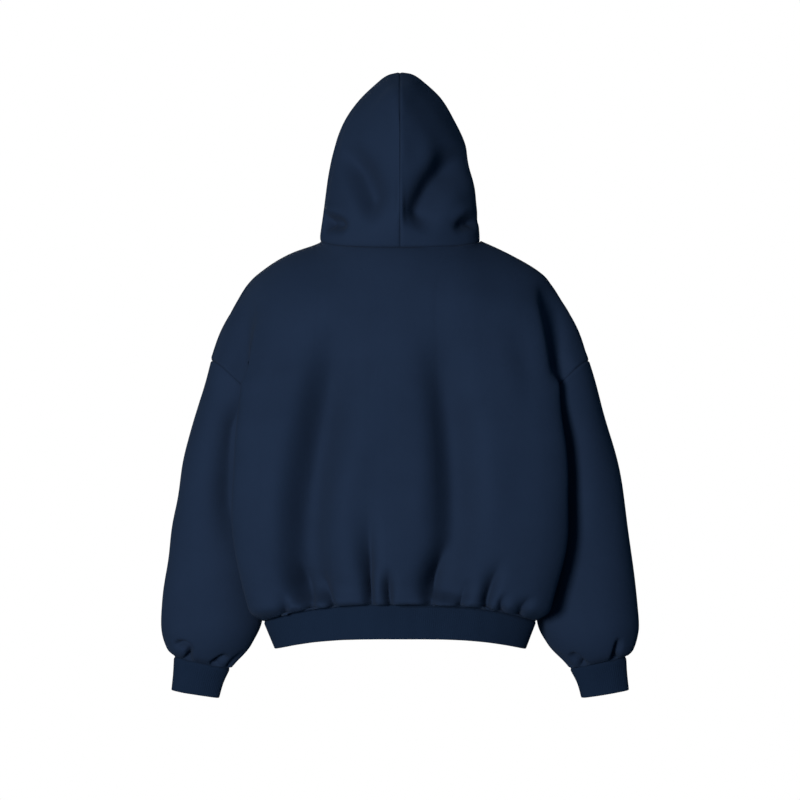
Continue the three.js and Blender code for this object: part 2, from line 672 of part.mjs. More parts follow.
const climbs = ROWS.slice(UNDERARM).map(climbAt);
const turns = [...climbs, ...climbs.slice(1, -1).map((climb) => 2 - climb).reverse()];
for (const side of [1, -1]) {
  const word = side > 0 ? "left" : "right";
  const edge = side > 0 ? COLUMNS.length - 1 : 0;
  const armhole = [
    ...back.slice(UNDERARM).map((row) => row[edge]),
    ...front.slice(UNDERARM + 1, -1).map((row) => row[edge]).reverse(),
  ];
  const sleeve = sleeveSheet(side, armhole, turns);
  const cuff = cuffSheet(side, sleeve[sleeve.length - 1], turns);
  sheets.push({ name: `sleeve_${word}`, rows: sleeve, wrap: true, outward: side, kind: "fleece" });
  sheets.push({ name: `cuff_${word}`, rows: cuff, wrap: true, outward: side, kind: "rib" });
}

const reaches = Array.from({ length: 2 * NECK_STEPS + 1 }, (_, k) => k / (2 * NECK_STEPS));
const hoods = [1, -1].map((side) => {
  const from = (row) => Array.from({ length: NECK_STEPS + 1 }, (_, k) => row[MIDDLE + side * k]);
  const frontHalf = from(front[front.length - 1]).slice(0, -1).reverse();
  const seam = [...from(back[back.length - 1]), ...frontHalf];
  return hoodSheet(side, seam, reaches);
});
hoods[0].forEach((row, i) => {
  row.forEach((point, k) => {
    const onCentreSeam = k === 0 || i === hoods[0].length - 1;
    if (onCentreSeam) hoods[1][i][k] = point;
  });
});
sheets.push({ name: "hood_left", rows: hoods[0], outward: -1, kind: "fleece" });
sheets.push({ name: "hood_right", rows: hoods[1], outward: 1, kind: "fleece" });

const CLOTHS = {
  fleece: { thickness: FLEECE, color: 0x1e2b41, roughness: 0.95 },
  rib: { thickness: RIB, color: 0x172435, roughness: 0.92 },
};

const garment = new THREE.Group();
for (const sheet of sheets) sheet.thickness = CLOTHS[sheet.kind].thickness;
shareSeamSteps(sheets);
for (const sheet of sheets) {
  const { color, roughness } = CLOTHS[sheet.kind];
  const material = new THREE.MeshStandardMaterial({ color, roughness, metalness: 0 });
  const mesh = new THREE.Mesh(wallGeometry(sheet), material);
  mesh.name = sheet.name;
  garment.add(mesh);
}

export default garment;
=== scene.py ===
"""The looks of a pullover hoodie in heavy navy fleece, filled out as it is worn, with nobody in it.

Each cloth piece is a thin shell on the form of its solid. It is sampled more finely from the same
sections, and carries the folds, gathers, seams and ribs of the cloth. Lengths are in millimetres
until a mesh is made. The front faces -Y, the back +Y, and the wearer's left is +X.
"""

import math

import bmesh
import bpy
import numpy as np
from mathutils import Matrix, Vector
from mathutils.kdtree import KDTree


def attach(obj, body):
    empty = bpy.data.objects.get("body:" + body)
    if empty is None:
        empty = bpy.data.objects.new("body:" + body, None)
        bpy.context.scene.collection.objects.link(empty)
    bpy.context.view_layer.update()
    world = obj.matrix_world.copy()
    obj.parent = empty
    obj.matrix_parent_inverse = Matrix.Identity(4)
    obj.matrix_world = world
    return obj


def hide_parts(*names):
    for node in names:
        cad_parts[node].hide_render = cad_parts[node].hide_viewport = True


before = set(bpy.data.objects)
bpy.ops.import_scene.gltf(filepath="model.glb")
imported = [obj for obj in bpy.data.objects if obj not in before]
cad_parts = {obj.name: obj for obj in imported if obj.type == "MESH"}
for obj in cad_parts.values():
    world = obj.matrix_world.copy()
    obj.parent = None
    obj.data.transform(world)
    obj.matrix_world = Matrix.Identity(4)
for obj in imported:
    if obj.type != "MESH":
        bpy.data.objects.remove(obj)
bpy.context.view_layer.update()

MM = 0.001
BODY = "root"

# Thickness of the cloths. The rib is doubled.
THICKNESS = {"fleece": 2.4, "rib": 3.2}

# The neck seam, seen from above: an oval whose front drops lower than its back.
NECK_HALF_WIDTH = 128
NECK_MIDDLE_Y = -4
NECK_BACK_REACH = 86
NECK_FRONT_REACH = 96
NECK_BACK_DROP = 13
NECK_FRONT_DROP = 85
NECK_FRONT_CURVE = 1.6

# The shoulder seam from the neck, over the dropped shoulder, to the armhole.
SHOULDER = np.array(
    [(128, -4, 0), (178, -5, -22), (233, -8, -57), (262, -10, -97), (284, -12, -140), (302, -14, -191)],
    float,
)

# The armhole: a slanted loop from the underarm, round the back and the front of the arm, and how
# far it bulges out and up on each side.
UNDERARM = np.array((205, -28, -285), float)
ARMHOLE_OUTER = SHOULDER[-1]
ARMHOLE_BACK = (60, 10)
ARMHOLE_FRONT = (-50, 8)

# The rib band at the hem: an oval ring whose two sides hang lower than its middle. Pairs are for
# its top and its bottom. The angles are those of the panels' key columns on it.
BAND_MIDDLE_Y = 4
BAND_BACK_REACH = 96
BAND_FRONT_REACH = 90
BAND_HALF_WIDTHS = (218, 201)
BAND_HEIGHTS = (-576, -628)
BAND_SIDE_DROPS = (32, 22)
SIDE_DROP_POWER = 3
BACK_HEM_ANGLES = [0, 17, 35, 56, 72, 85, 96, 107]
FRONT_HEM_ANGLES = [0, 13, 27, 42, 53, 61, 67, 73]

# Level sections of the body, from the band up to the underarm: height, how much lower the edge
# hangs, the side seam's x and y, and for each panel its middle's y and its edge's x and y.
TORSO = [
    dict(z=-561, drop=24, seam=(211, -24), back=(119, 235, 55), front=(-109, 222, -90)),
    dict(z=-526, drop=14, seam=(204, -28), back=(129, 251, 60), front=(-117, 229, -94)),
    dict(z=-470, drop=4, seam=(198, -32), back=(131, 264, 64), front=(-121, 227, -97)),
    dict(z=-400, drop=0, seam=(196, -33), back=(127, 266, 66), front=(-120, 225, -98)),
    dict(z=-340, drop=0, seam=(198, -31), back=(123, 263, 67), front=(-118, 224, -98)),
    dict(z=-285, drop=0, seam=(205, -28), back=(119, 257, 68), front=(-115, 224, -97)),
]

# A level section's key columns: turns from the middle to the edge, and shares of the way from the
# edge to the side seam. Under 1, FLATNESS makes it flatter over its middle than an oval, and
# SIDE_HOLLOW is how far its side bows in.
SECTION_TURNS = np.radians([0, 14, 30, 60, 90])
FLATNESS = 0.8
SIDE_SHARES = np.array([0.37, 0.7, 1])
SIDE_HOLLOW = 9

# Sections above the underarm: how far up the armhole each ends, and its key points from the
# middle of the panel outwards.
YOKE = [
    dict(
        climb=0.4,
        back=[
            (0, 115, -178), (62, 113, -178), (124, 107, -180), (200, 93, -188),
            (247, 70, -208), (246, 52, -220), (241, 42, -231),
        ],
        front=[
            (0, -113, -212), (62, -112, -209), (124, -108, -202), (188, -100, -200),
            (224, -93, -212), (231, -84, -224), (234, -77, -234),
        ],
    ),
    dict(
        climb=0.75,
        back=[
            (0, 106, -82), (60, 103, -81), (118, 94, -80), (182, 77, -90),
            (232, 60, -116), (250, 37, -150), (268, 31, -177),
        ],
        front=[
            (0, -109, -140), (60, -106, -132), (116, -97, -114), (177, -84, -107),
            (225, -74, -126), (245, -58, -152), (265, -54, -178),
        ],
    ),
]

# Key columns: where the neck and the side seam are, and the shares of the shoulder seam that the
# columns past the neck end at. Key rows: the band is row 0.
NECK_COLUMN = 2
SEAM_COLUMN = 7
SHOULDER_ENDS = [0, 0.2, 0.44, 0.62, 0.8, 1]
UNDERARM_ROW = len(TORSO)
TOP_ROW = len(TORSO) + len(YOKE) + 1

# Key columns over which the top of a panel changes from the neck's to the shoulder's, how far the
# neck's takes part in the shoulder's curve, and the columns that are drawn onto the armhole's loop.
NECK_BLEND = 1.3
NECK_ROLL = 0.22
ARMHOLE_BLEND = 2

# The smoothing below each end of the neck: half its width in key columns, the key rows below the
# top at which it is full, starts to end and ends, and its rounds.
NECK_EASE_COLUMNS = 0.9
NECK_EASE_ROWS = (0.3, 1.6, 2.4)
NECK_EASE_ROUNDS = 60

# Sleeve sections, from below the armhole to the cuff: centre x, y and z, half width, half depth,
# and the tilt of the outer side in degrees.
SLEEVE = np.array(
    [
        (276, -26, -290, 56, 63, 32),
        (288, -33, -360, 62, 65, 20),
        (295, -40, -440, 69, 64, 13),
        (301, -47, -520, 75, 63, 10),
        (302.5, -52, -594, 82.5, 62, 9),
        (312.5, -56, -636, 74.5, 59, 9),
        (321.5, -59, -666, 57.5, 45, 10),
        (320.5, -60, -679, 46.5, 27, 12),
    ],
    float,
)
CUFF = np.array([SLEEVE[-1], (327, -63, -704, 41.5, 23, 10.5), (332, -66, -729, 39.5, 21, 9.5)])

# Hood sections, from the neck seam to the top seam: rise, half width, y of the centre seam, of
# the widest place, x and y of the opening's edge, and how round the back is.
HOOD = np.array(
    [
        (0, 128, 82, -4, 0, -100, 2),
        (0.1, 125.5, 88, -6, 30, -105, 1.85),
        (0.25, 122, 96, -8, 62, -109, 1.65),
        (0.4, 116, 102, -8, 82, -111, 1.5),
        (0.55, 107, 105, -8, 89, -112, 1.42),
        (0.7, 90, 104, -6, 78, -110, 1.4),
        (0.84, 65, 100, -4, 54, -105, 1.4),
        (0.94, 38, 96, -2, 30, -99, 1.4),
        (0.985, 20, 93, 0, 15, -94, 1.4),
        (1, 0, 92, 0, 0, -92, 1.4),
    ]
)
HOOD_TOP = [184, 242, 270.5, 268, 250]


def crease(depth, plus, minus, fade_in, fade_out, *line):
    """A soft trough or, where its depth is below 0, a ridge. It runs down its line of x and z, has
    its own half widths towards +X (plus) and -X (minus), and fades over shares of the line."""
    return dict(depth=depth, plus=plus, minus=minus, fades=(fade_in, fade_out), line=line)


BACK_FOLDS = [
    crease(
        48, 31, 38, 0.32, 0.12, (96, -110), (108, -200), (127, -302), (143, -397),
        (150, -470), (143, -530), (134, -585),
    ),
    crease(-5, 26, 30, 0.5, 0.4, (170, -240), (196, -360), (206, -470)),
    crease(-6, 30, 26, 0.5, 0.4, (50, -250), (84, -380), (96, -490)),
    crease(
        38, 29, 34, 0.34, 0.12, (-54, -110), (-66, -200), (-80, -302), (-86, -400),
        (-84, -480), (-70, -535), (-56, -585),
    ),
    crease(-5, 26, 34, 0.5, 0.4, (-128, -240), (-140, -380), (-134, -500)),
    crease(-3, 22, 18, 0.5, 0.5, (-26, -330), (-28, -420), (-22, -480)),
    crease(7, 22, 20, 0.5, 0.5, (-170, -110), (-196, -190), (-212, -290)),
    crease(6, 22, 14, 0.6, 0.2, (50, -390), (46, -460), (42, -540)),
    crease(10, 15, 30, 0.4, 0.2, (226, -60), (238, -110), (248, -170), (257, -232)),
    crease(17, 12, 16, 0.3, 0.2, (-226, -56), (-238, -110), (-247, -170), (-256, -232)),
]
FRONT_FOLDS = [
    crease(12, 32, 26, 0.5, 0.1, (92, -200), (116, -320), (128, -460), (112, -595)),
    crease(13, 28, 34, 0.5, 0.1, (-98, -190), (-122, -300), (-120, -450), (-96, -595)),
    crease(6, 24, 18, 0.6, 0.4, (10, -330), (4, -430), (10, -520)),
    crease(7, 16, 24, 0.4, 0.5, (196, -120), (218, -200), (222, -300)),
    crease(8, 24, 16, 0.4, 0.5, (-192, -120), (-214, -200), (-222, -310)),
    crease(3, 14, 14, 0.5, 0.5, (60, -160), (30, -190), (-26, -196), (-66, -168)),
]

# Gathers at the hem: x at the band, x and z where the gather starts, depth, and half widths at the
# band towards +X and -X.
BACK_GATHERS = [
    (179, (186, -550), 16, 5, 3), (136, (172, -490), 34, 8, 3.5), (102, (134, -520), 26, 5.5, 3),
    (44, (50, -410), 34, 7.5, 3), (15, (19, -505), 28, 5, 3), (-50, (-76, -460), 38, 8.5, 4),
    (-95, (-113, -525), 22, 6, 3.5), (-136, (-160, -495), 32, 7, 3), (-158, (-165, -550), 20, 4, 3),
    (-186, (-208, -555), 24, 5.5, 3),
]
FRONT_GATHERS = [
    (172, (184, -550), 8, 7, 4), (140, (158, -515), 11, 5, 9), (92, (106, -500), 11, 9, 5),
    (60, (68, -530), 9, 8, 4), (14, (10, -490), 11, 9, 5), (-30, (-36, -525), 9, 4, 8),
    (-72, (-84, -505), 12, 9, 5), (-110, (-124, -530), 9, 8, 4), (-150, (-170, -510), 11, 5, 9),
    (-180, (-190, -560), 7, 6, 4),
]

# A gather's shape: how much wider it is at its top, how it narrows, the share of its way down at
# which it is deepest, how sharp it is, and how far and how much the points are drawn to it.
GATHER_TOP_WIDENING = 4.2
GATHER_NARROWING = 0.7
GATHER_DEEP_SHARE = 0.85
GATHER_SHARPNESS = 1.4
GATHER_SPREAD = 9
GATHER_PINCH = 0.7

# The distance from a seam over which folds and waves reach their depth, on all but the hood.
SEAM_LIFT = 3.5
HOOD_LIFT = 12

# The blouse over the band: how far it overhangs, and in key rows and columns, where it has turned
# out, where it ends above, and over which it fades towards the side seams.
BLOUSE_REACH = 20
BLOUSE_TURN = 0.05
BLOUSE_ROWS = 1.6
BLOUSE_ENDS = (3, 5.3)

# Key rows over which folds turn from level to the cloth's own normal, the limits of their depth,
# and the share of it that the long folds keep at the hem, with the key rows over which they grow.
LEVEL_ROWS = (0.6, 2.6)
DEEPEST_FOLD = 90
LEAST_ROOM = 0.05
FOLD_AT_HEM = 0.35
FOLD_GROWTH_ROWS = (0.1, 1.3)

HOOD_FOLDS = {
    1: [
        crease(31, 14, 32, 0.4, 0.35, (92, 168), (84, 130), (66, 88), (50, 52), (38, 14)),
        crease(-2, 20, 20, 0.5, 0.5, (60, 190), (58, 140), (44, 96)),
        crease(20, 13, 10, 0.1, 0.45, (122, 30), (109, 30), (96, 24), (84, 8)),
        crease(-5, 9, 9, 0.3, 0.5, (122, 50), (104, 46), (84, 26)),
    ],
    -1: [
        crease(30, 23, 22, 0.35, 0.22, (-95, 156), (-86, 124), (-60, 84), (-39, 46), (-25, 6)),
        crease(-4, 16, 18, 0.5, 0.5, (-40, 190), (-42, 130), (-22, 80)),
        crease(16, 8, 10, 0.25, 0.4, (-126, 26), (-116, 30), (-102, 26), (-82, 12)),
        crease(-5, 9, 9, 0.3, 0.5, (-126, 56), (-100, 48), (-78, 28)),
    ],
}
SLEEVE_FOLDS = {
    1: [
        crease(14, 5, 5, 0.25, 0.02, (366, -650), (352, -646), (340, -653), (341, -668), (345, -682)),
        crease(12, 5, 5, 0.35, 0.02, (274, -666), (289, -673), (303, -684)),
        crease(19, 32, 12, 0.2, 0.4, (256, -245), (266, -340), (266, -430), (252, -530)),
    ],
    -1: [
        crease(14, 5, 5, 0.4, 0.02, (-352, -632), (-350, -650), (-346, -668), (-346, -682)),
        crease(12, 5, 5, 0.35, 0.02, (-270, -660), (-286, -671), (-299, -684)),
        crease(9, 12, 26, 0.3, 0.4, (-256, -250), (-266, -340), (-266, -430), (-256, -530)),
    ],
}

# Folds press in where a sleeve or the hood faces the back, between these parts of its normal.
SLEEVE_FACING = (0, 0.4)
HOOD_FACING = (-0.2, 0.25)

# Gathers above the cuff: where round the sleeve (0 inner side, 0.5 back, 1 outer side, 1.5
# front), the section where the gather starts, its depth, and half its width as a turn.
SLEEVE_GATHERS = {
    1: [
        (0.12, 6.2, 7, 0.05), (0.92, 6.2, 6, 0.04), (1.12, 5.6, 8, 0.045),
        (1.38, 6.0, 7, 0.05), (1.62, 5.3, 9, 0.05), (1.86, 6.2, 6, 0.05),
    ],
    -1: [
        (0.1, 6.2, 6, 0.05), (0.94, 6.0, 7, 0.045), (1.16, 5.4, 9, 0.05),
        (1.45, 6.2, 7, 0.05), (1.7, 5.6, 8, 0.05), (1.9, 6.2, 6, 0.05),
    ],
}
GATHER_DEEPEST_ROW = 7

# Slow waves of the cloth: their size, their height and the number that their random draws start
# from. A left or right piece adds its side, 1 or -1. The band's and the cuffs' are squeezed.
BACK_WAVES = (130, 1.1, 11)
FRONT_WAVES = (130, 1.1, 12)
SLEEVE_WAVES = (120, 1.0, 20)
BAND_WAVES = (60, 0.5, 31)
BAND_WAVE_SQUEEZE = 1.5
CUFF_WAVES = (40, 0.5, 40)
CUFF_WAVE_SQUEEZE = 2
HOOD_WAVES = (110, 1.0, 50)
WAVE_COUNT = 8
WAVE_LENGTHS = (0.6, 1.7)

# Spacing of the shells' points over the cloth and at its seams and hem, the distances from them
# over which it changes, and the rows of the band, the cuffs and the rims.
SPACING = 3.9
TUBE_SPACING = 2.8
SEAM_SPACING = 1.1
HEM_SPACING = 0.3
EDGE_REACH = 26
HEM_REACH = 60
BAND_ROWS = 15
CUFF_ROWS = 17
RIM_STEPS = 4
RIM_STEP = 0.5

# A seam is a shallow valley between two pieces. Past it the inside is drawn in by the allowance
# and overlaps the next piece. SEAM_MEETING is how far apart the two may be to share a normal, and
# SEAM_TURN the distance over which each turns to it. Shorter sums than OPPOSED aren't used.
SEAM_DEPTH = 1.7
SEAM_HALF_WIDTH = 2.0
SEAM_ALLOWANCE = 2.2
SEAM_OVERLAP = 1.8
SEAM_MEETING = 3
SEAM_TURN = 6
OPPOSED = 0.5

# The doubled hem round the face, and the line of stitching behind it.
HOOD_HEM = 22
HOOD_HEM_RISE = 0.7
HOOD_HEM_STEP = (-1, 2)
STITCH_DEPTH = 0.8
STITCH_HALF_WIDTH = 1.6

# Ribs of the band and cuffs.
RIB_PITCH = 3.4
RIB_HEIGHT = 0.2
RIB_SAMPLES = 5

# Steps of the fine lines that lengths are measured on: to a key row or column, to the hood's whole
# reach, to a degree, to half a turn, and to a part of a fold's line.
KEY_STEPS = 100
REACH_STEPS = 400
DEGREE_STEPS = 4
TURN_STEPS = 360
FOLD_LINE_STEPS = 6
SPACING_POINTS = 4001
SHOULDER_POINTS = 400
FAR = 1e3
TINY = 1e-9
LEAST_STEP = 1e-3


def smoothstep(value, low, high):
    t = np.clip((value - low) / (high - low), 0, 1)
    return t * t * (3 - 2 * t)


def lerp(a, b, share):
    return a + (b - a) * share


def along(values, places):
    """The values at fractional places, on a smooth curve through their entries."""
    values = np.asarray(values, float)
    places = np.atleast_1d(np.asarray(places, float))
    before = 2 * values[0] - values[1]
    after = 2 * values[-1] - values[-2]
    knots = np.concatenate([before[None], values, after[None]])
    whole = np.clip(np.floor(places).astype(int), 0, len(values) - 2)
    t = (places - whole).reshape(-1, *[1] * (values.ndim - 1))
    a, b, c, d = (knots[whole + k] for k in range(4))
    bend = 2 * a - 5 * b + 4 * c - d
    twist = 3 * b - a - 3 * c + d
    return b + 0.5 * t * (c - a + t * (bend + t * twist))


def lengths_along(points, axis=0):
    """The length along a line of points to each of them."""
    steps = np.linalg.norm(np.diff(points, axis=axis), axis=-1)
    zero = np.zeros_like(np.take(steps, [0], axis=axis))
    return np.concatenate([zero, np.cumsum(steps, axis=axis)], axis=axis)


def unit(vectors):
    return vectors / np.linalg.norm(vectors, axis=-1, keepdims=True)


def finely(end, steps):
    """Places from 0 to a whole number, with so many steps to each one."""
    return np.linspace(0, end, end * steps + 1)


def graded(line, places, spacing, start=SEAM_SPACING, end=SEAM_SPACING, reach=EDGE_REACH):
    """Places along a line of points, spacing apart, and closer towards its start and its end."""
    lengths = lengths_along(line)
    s = np.linspace(0, lengths[-1], SPACING_POINTS)
    local = np.full_like(s, spacing)
    for distance, fine in ((s, start), (lengths[-1] - s, end)):
        if fine:
            local = np.minimum(local, lerp(fine, spacing, np.clip(distance / reach, 0, 1)))
    steps = np.diff(s) / (0.5 * (local[1:] + local[:-1]))
    count = np.concatenate([[0], np.cumsum(steps)])
    wanted = np.linspace(0, count[-1], int(round(count[-1])) + 1)
    return np.interp(np.interp(wanted, count, s), lengths, places)


def snapped(places, wanted):
    """The places, with the nearest one moved onto the wanted place."""
    places = places.copy()
    places[np.argmin(np.abs(places - wanted))] = wanted
    return places


def neck_point(turn):
    """The neck seam, from the nape (turn 0) over the neck point (0.5) to the middle front (1)."""
    share = np.cos(turn * np.pi)
    front_drop = NECK_FRONT_DROP * np.abs(np.minimum(share, 0)) ** NECK_FRONT_CURVE
    x = NECK_HALF_WIDTH * np.sin(turn * np.pi)
    y = NECK_MIDDLE_Y + share * np.where(share > 0, NECK_BACK_REACH, NECK_FRONT_REACH)
    z = np.where(share > 0, -NECK_BACK_DROP * share, -front_drop)
    return np.stack([x, y, z], -1)


def shoulder_point(share):
    line = along(SHOULDER, np.linspace(0, len(SHOULDER) - 1, SHOULDER_POINTS))
    lengths = lengths_along(line) / lengths_along(line)[-1]
    return np.stack([np.interp(share, lengths, line[:, k]) for k in range(3)], -1)


def armhole_point(climb, is_back):
    """The armhole from the underarm (climb 0) to the outer arm (climb 1)."""
    middle = (UNDERARM + ARMHOLE_OUTER) / 2
    reach, rise = ARMHOLE_BACK if is_back else ARMHOLE_FRONT
    bulge = np.sin(climb * np.pi)[:, None] * np.array([0, reach, rise])
    return middle + (UNDERARM - middle) * np.cos(climb * np.pi)[:, None] + bulge


def band_point(angle, fall):
    """The band's top (fall 0) to bottom (fall 1), at an angle in degrees from the middle back."""
    sine = np.sin(np.radians(angle))
    cosine = np.cos(np.radians(angle))
    drop = lerp(*BAND_SIDE_DROPS, fall) * np.abs(sine) ** SIDE_DROP_POWER
    y = BAND_MIDDLE_Y + cosine * np.where(cosine > 0, BAND_BACK_REACH, BAND_FRONT_REACH)
    return np.stack([lerp(*BAND_HALF_WIDTHS, fall) * sine, y, lerp(*BAND_HEIGHTS, fall) - drop], -1)


def torso_keys(section, is_back):
    """The key points of a level section below the underarm, from the middle to the side seam."""
    middle_y, edge_x, edge_y = section["back"] if is_back else section["front"]
    seam_x, seam_y = section["seam"]
    cosine = np.clip(np.cos(SECTION_TURNS), 0, 1)
    side_x = lerp(edge_x, seam_x, SIDE_SHARES) - SIDE_HOLLOW * np.sin(SIDE_SHARES * np.pi)
    side_y = lerp(edge_y, seam_y, SIDE_SHARES)
    x = np.concatenate([edge_x * np.sin(SECTION_TURNS), side_x])
    y = np.concatenate([edge_y + (middle_y - edge_y) * cosine**FLATNESS, side_y])
    z = section["z"] - section["drop"] * (x / section["back"][1]) ** SIDE_DROP_POWER
    return np.stack([x, y, z], -1)


def yoke_keys(section, is_back):
    keys = np.array(section["back"] if is_back else section["front"], float)
    return np.concatenate([keys, armhole_point(np.array([section["climb"]]), is_back)])


def top_points(columns, is_back):
    """The top of a panel: the neck seam, and then the shoulder seam."""
    turn = 0.5 * np.minimum(columns, NECK_COLUMN) / NECK_COLUMN
    neck = neck_point(turn if is_back else 1 - turn)
    share = along(SHOULDER_ENDS, np.maximum(columns - NECK_COLUMN, 0))
    shoulder = shoulder_point(np.clip(share, 0, 1))
    return np.where((columns <= NECK_COLUMN)[:, None], neck, shoulder)


def key_points(columns, is_back):
    """The key points of a panel from the hem to the top, at each of its columns."""
    angles = BACK_HEM_ANGLES if is_back else FRONT_HEM_ANGLES
    angle = along(angles, columns)
    keys = [torso_keys(section, is_back) for section in TORSO]
    keys += [yoke_keys(section, is_back) for section in YOKE]
    band = band_point(angle if is_back else 180 - angle, 0)
    sections = [along(k, columns) for k in keys]
    return np.stack([band, *sections, top_points(columns, is_back)])


def climb_at(row):
    return along([0, *[section["climb"] for section in YOKE], 1], row - UNDERARM_ROW)


def smooth_panel(columns, rows, is_back):
    """A panel before its folds. Past the shoulder seam the other panel carries the curve on, at the
    neck the panel ends by itself, and at the armhole it follows the armhole's loop."""
    outwards = np.abs(columns)
    points = key_points(outwards, is_back)
    beyond = key_points(outwards, not is_back)[TOP_ROW - 1]
    by_itself = 2 * points[TOP_ROW] - points[TOP_ROW - 1]
    weight = smoothstep(outwards, NECK_COLUMN - NECK_BLEND, NECK_COLUMN + NECK_BLEND)
    weight = lerp(NECK_ROLL, 1, weight)[:, None]
    made = along(np.concatenate([points, lerp(by_itself, beyond, weight)[None]]), rows)
    above = rows > UNDERARM_ROW
    drawn = along(key_points(np.array([float(SEAM_COLUMN)]), is_back)[:, 0], rows[above])
    off = armhole_point(climb_at(rows[above]), is_back) - drawn
    near = smoothstep(outwards, SEAM_COLUMN - ARMHOLE_BLEND, SEAM_COLUMN)
    made[above] += off[:, None] * near[None, :, None]
    made[..., 0] *= np.where(columns < 0, -1, 1)
    return made


def eased_below_neck(grid):
    """A panel with the crease that runs down from each end of the neck smoothed out."""
    deep, start, end = NECK_EASE_ROWS
    below = TOP_ROW - ROWS
    by_row = smoothstep(below, 0, deep) * (1 - smoothstep(below, start, end))
    by_column = np.exp(-(((np.abs(COLUMNS) - NECK_COLUMN) / NECK_EASE_COLUMNS) ** 2))
    amount = (by_row[:, None] * by_column)[:, 1:-1, None]
    made = grid.copy()
    for _ in range(NECK_EASE_ROUNDS):
        middle = (made[:, :-2] + made[:, 2:]) / 2
        made[:, 1:-1] = lerp(made[:, 1:-1], middle, amount)
    return made


def grid_normals(grid, wrap, outward):
    if wrap:
        across = np.roll(grid, -1, axis=1) - np.roll(grid, 1, axis=1)
    else:
        across = np.gradient(grid, axis=1)
    normals = np.cross(across, np.gradient(grid, axis=0)) * outward
    return normals / np.maximum(np.linalg.norm(normals, axis=-1, keepdims=True), TINY)


def fold_depth(fold, x, z):
    """How deep a fold is pressed in at each place, seen from behind or in front."""
    corners = np.array(fold["line"], float)
    pieces = FOLD_LINE_STEPS * (len(corners) - 1)
    line = along(corners, np.linspace(0, len(corners) - 1, pieces + 1))
    nearest = np.full(x.shape, np.inf)
    side = np.zeros(x.shape)
    share = np.zeros(x.shape)
    for i, (start, end) in enumerate(zip(line[:-1], line[1:])):
        way = end - start
        t = np.clip(((x - start[0]) * way[0] + (z - start[1]) * way[1]) / (way @ way), 0, 1)
        off_x = x - start[0] - t * way[0]
        off_z = z - start[1] - t * way[1]
        distance = np.hypot(off_x, off_z)
        closer = distance < nearest
        nearest = np.where(closer, distance, nearest)
        side = np.where(closer, way[0] * off_z - way[1] * off_x, side)
        share = np.where(closer, (i + t) / pieces, share)
    half_width = np.where(side > 0, fold["plus"], fold["minus"])
    fade_in, fade_out = fold["fades"]
    fade = smoothstep(share, 0, fade_in) * smoothstep(1 - share, 0, fade_out)
    return fold["depth"] * fade * np.exp(-((nearest / half_width) ** 2))


def folds_depth(folds, x, z):
    return sum((fold_depth(fold, x, z) for fold in folds), np.zeros(x.shape))


def hem_z(x):
    outwards = np.clip(np.abs(x) / BAND_HALF_WIDTHS[0], 0, 1)
    return BAND_HEIGHTS[0] - BAND_SIDE_DROPS[0] * outwards**SIDE_DROP_POWER


def gather_centre(hem_x, top, x, z):
    """How far down a gather a place is, from 0 to 1, and the gather's x at its height."""
    top_x, top_z = top
    share = np.clip((z - top_z) / (hem_z(x) - top_z), 0, 1)
    return share, lerp(top_x, hem_x, share)


def gather_depth(gather, x, z):
    hem_x, top, depth, plus, minus = gather
    share, centre = gather_centre(hem_x, top, x, z)
    half_width = lerp(GATHER_TOP_WIDENING, 1, share**GATHER_NARROWING) * np.where(x > centre, plus, minus)
    deep = depth * smoothstep(share, 0, GATHER_DEEP_SHARE)
    return deep * np.exp(-(np.abs((x - centre) / half_width) ** GATHER_SHARPNESS))


def drawn_to_gathers(grid, gathers):
    """The panel's points, moved along its rows so that more of them lie in the gathers."""
    made = grid.copy()
    index = np.arange(grid.shape[1], dtype=float)
    middle = slice(len(index) // 8, -(len(index) // 8))
    for i, row in enumerate(grid):
        x, z = row[:, 0], row[:, 2]
        shift = np.zeros(len(index))
        for hem_x, top, *_ in gathers:
            share, centres = gather_centre(hem_x, top, x, z)
            k = int(np.argmin(np.abs(x - centres)[middle])) + middle.start
            place = np.interp(centres[k], x[middle], index[middle])
            reach = GATHER_SPREAD / max(abs(x[k + 1] - x[k - 1]) / 2, 0.1)
            off = (index - place) / reach
            shift -= GATHER_PINCH * share[k] * reach * off * np.exp(-off * off)
        if np.abs(shift).max() > 0:
            made[i] = along(row, np.clip(index + shift, 0, index[-1]))
    return made


def unevenness(x, z, waves, side=0):
    """Slow, slight waves, as heavy cloth has them."""
    size, height, seed = waves
    rng = np.random.default_rng(seed + side)
    total = np.zeros(x.shape)
    for _ in range(WAVE_COUNT):
        turn = rng.uniform(0, np.pi)
        length = size * rng.uniform(*WAVE_LENGTHS)
        phase = rng.uniform(0, 2 * np.pi)
        total += np.sin((x * np.cos(turn) + z * np.sin(turn)) * 2 * np.pi / length + phase)
    return height * total / math.sqrt(WAVE_COUNT)


def edge_distances(grid, wrap):
    """Each point's distance from the first and last row, and the first and last column."""
    down = lengths_along(grid, 0)
    across = lengths_along(grid, 1)
    far = np.full(down.shape, FAR)
    columns = (far, far) if wrap else (across, across[:, -1:] - across)
    return (down, down[-1:] - down, *columns)


def side_word(side):
    return "left" if side > 0 else "right"


def cloth_sheet(name, node, grid, wrap, outward, seams, depth, kind, lift=SEAM_LIFT):
    """A sheet of cloth: its points and normals, and how far each point is from a seam.

    seams says which of the first row, last row, first column and last column are sewn. A last row
    that isn't sewn is an open edge."""
    normals = grid_normals(grid, wrap, outward)
    distances = edge_distances(grid, wrap)
    seam = np.min([d for d, sewn in zip(distances, seams) if sewn], axis=0)
    formed = grid - normals * (depth * smoothstep(seam, 0, lift))[..., None]
    return dict(
        name=name,
        node=node,
        formed=formed,
        normals=grid_normals(formed, wrap, outward),
        height=np.zeros(seam.shape),
        wrap=wrap,
        outward=outward,
        seams=seams,
        distances=distances,
        seam=seam,
        kind=kind,
    )


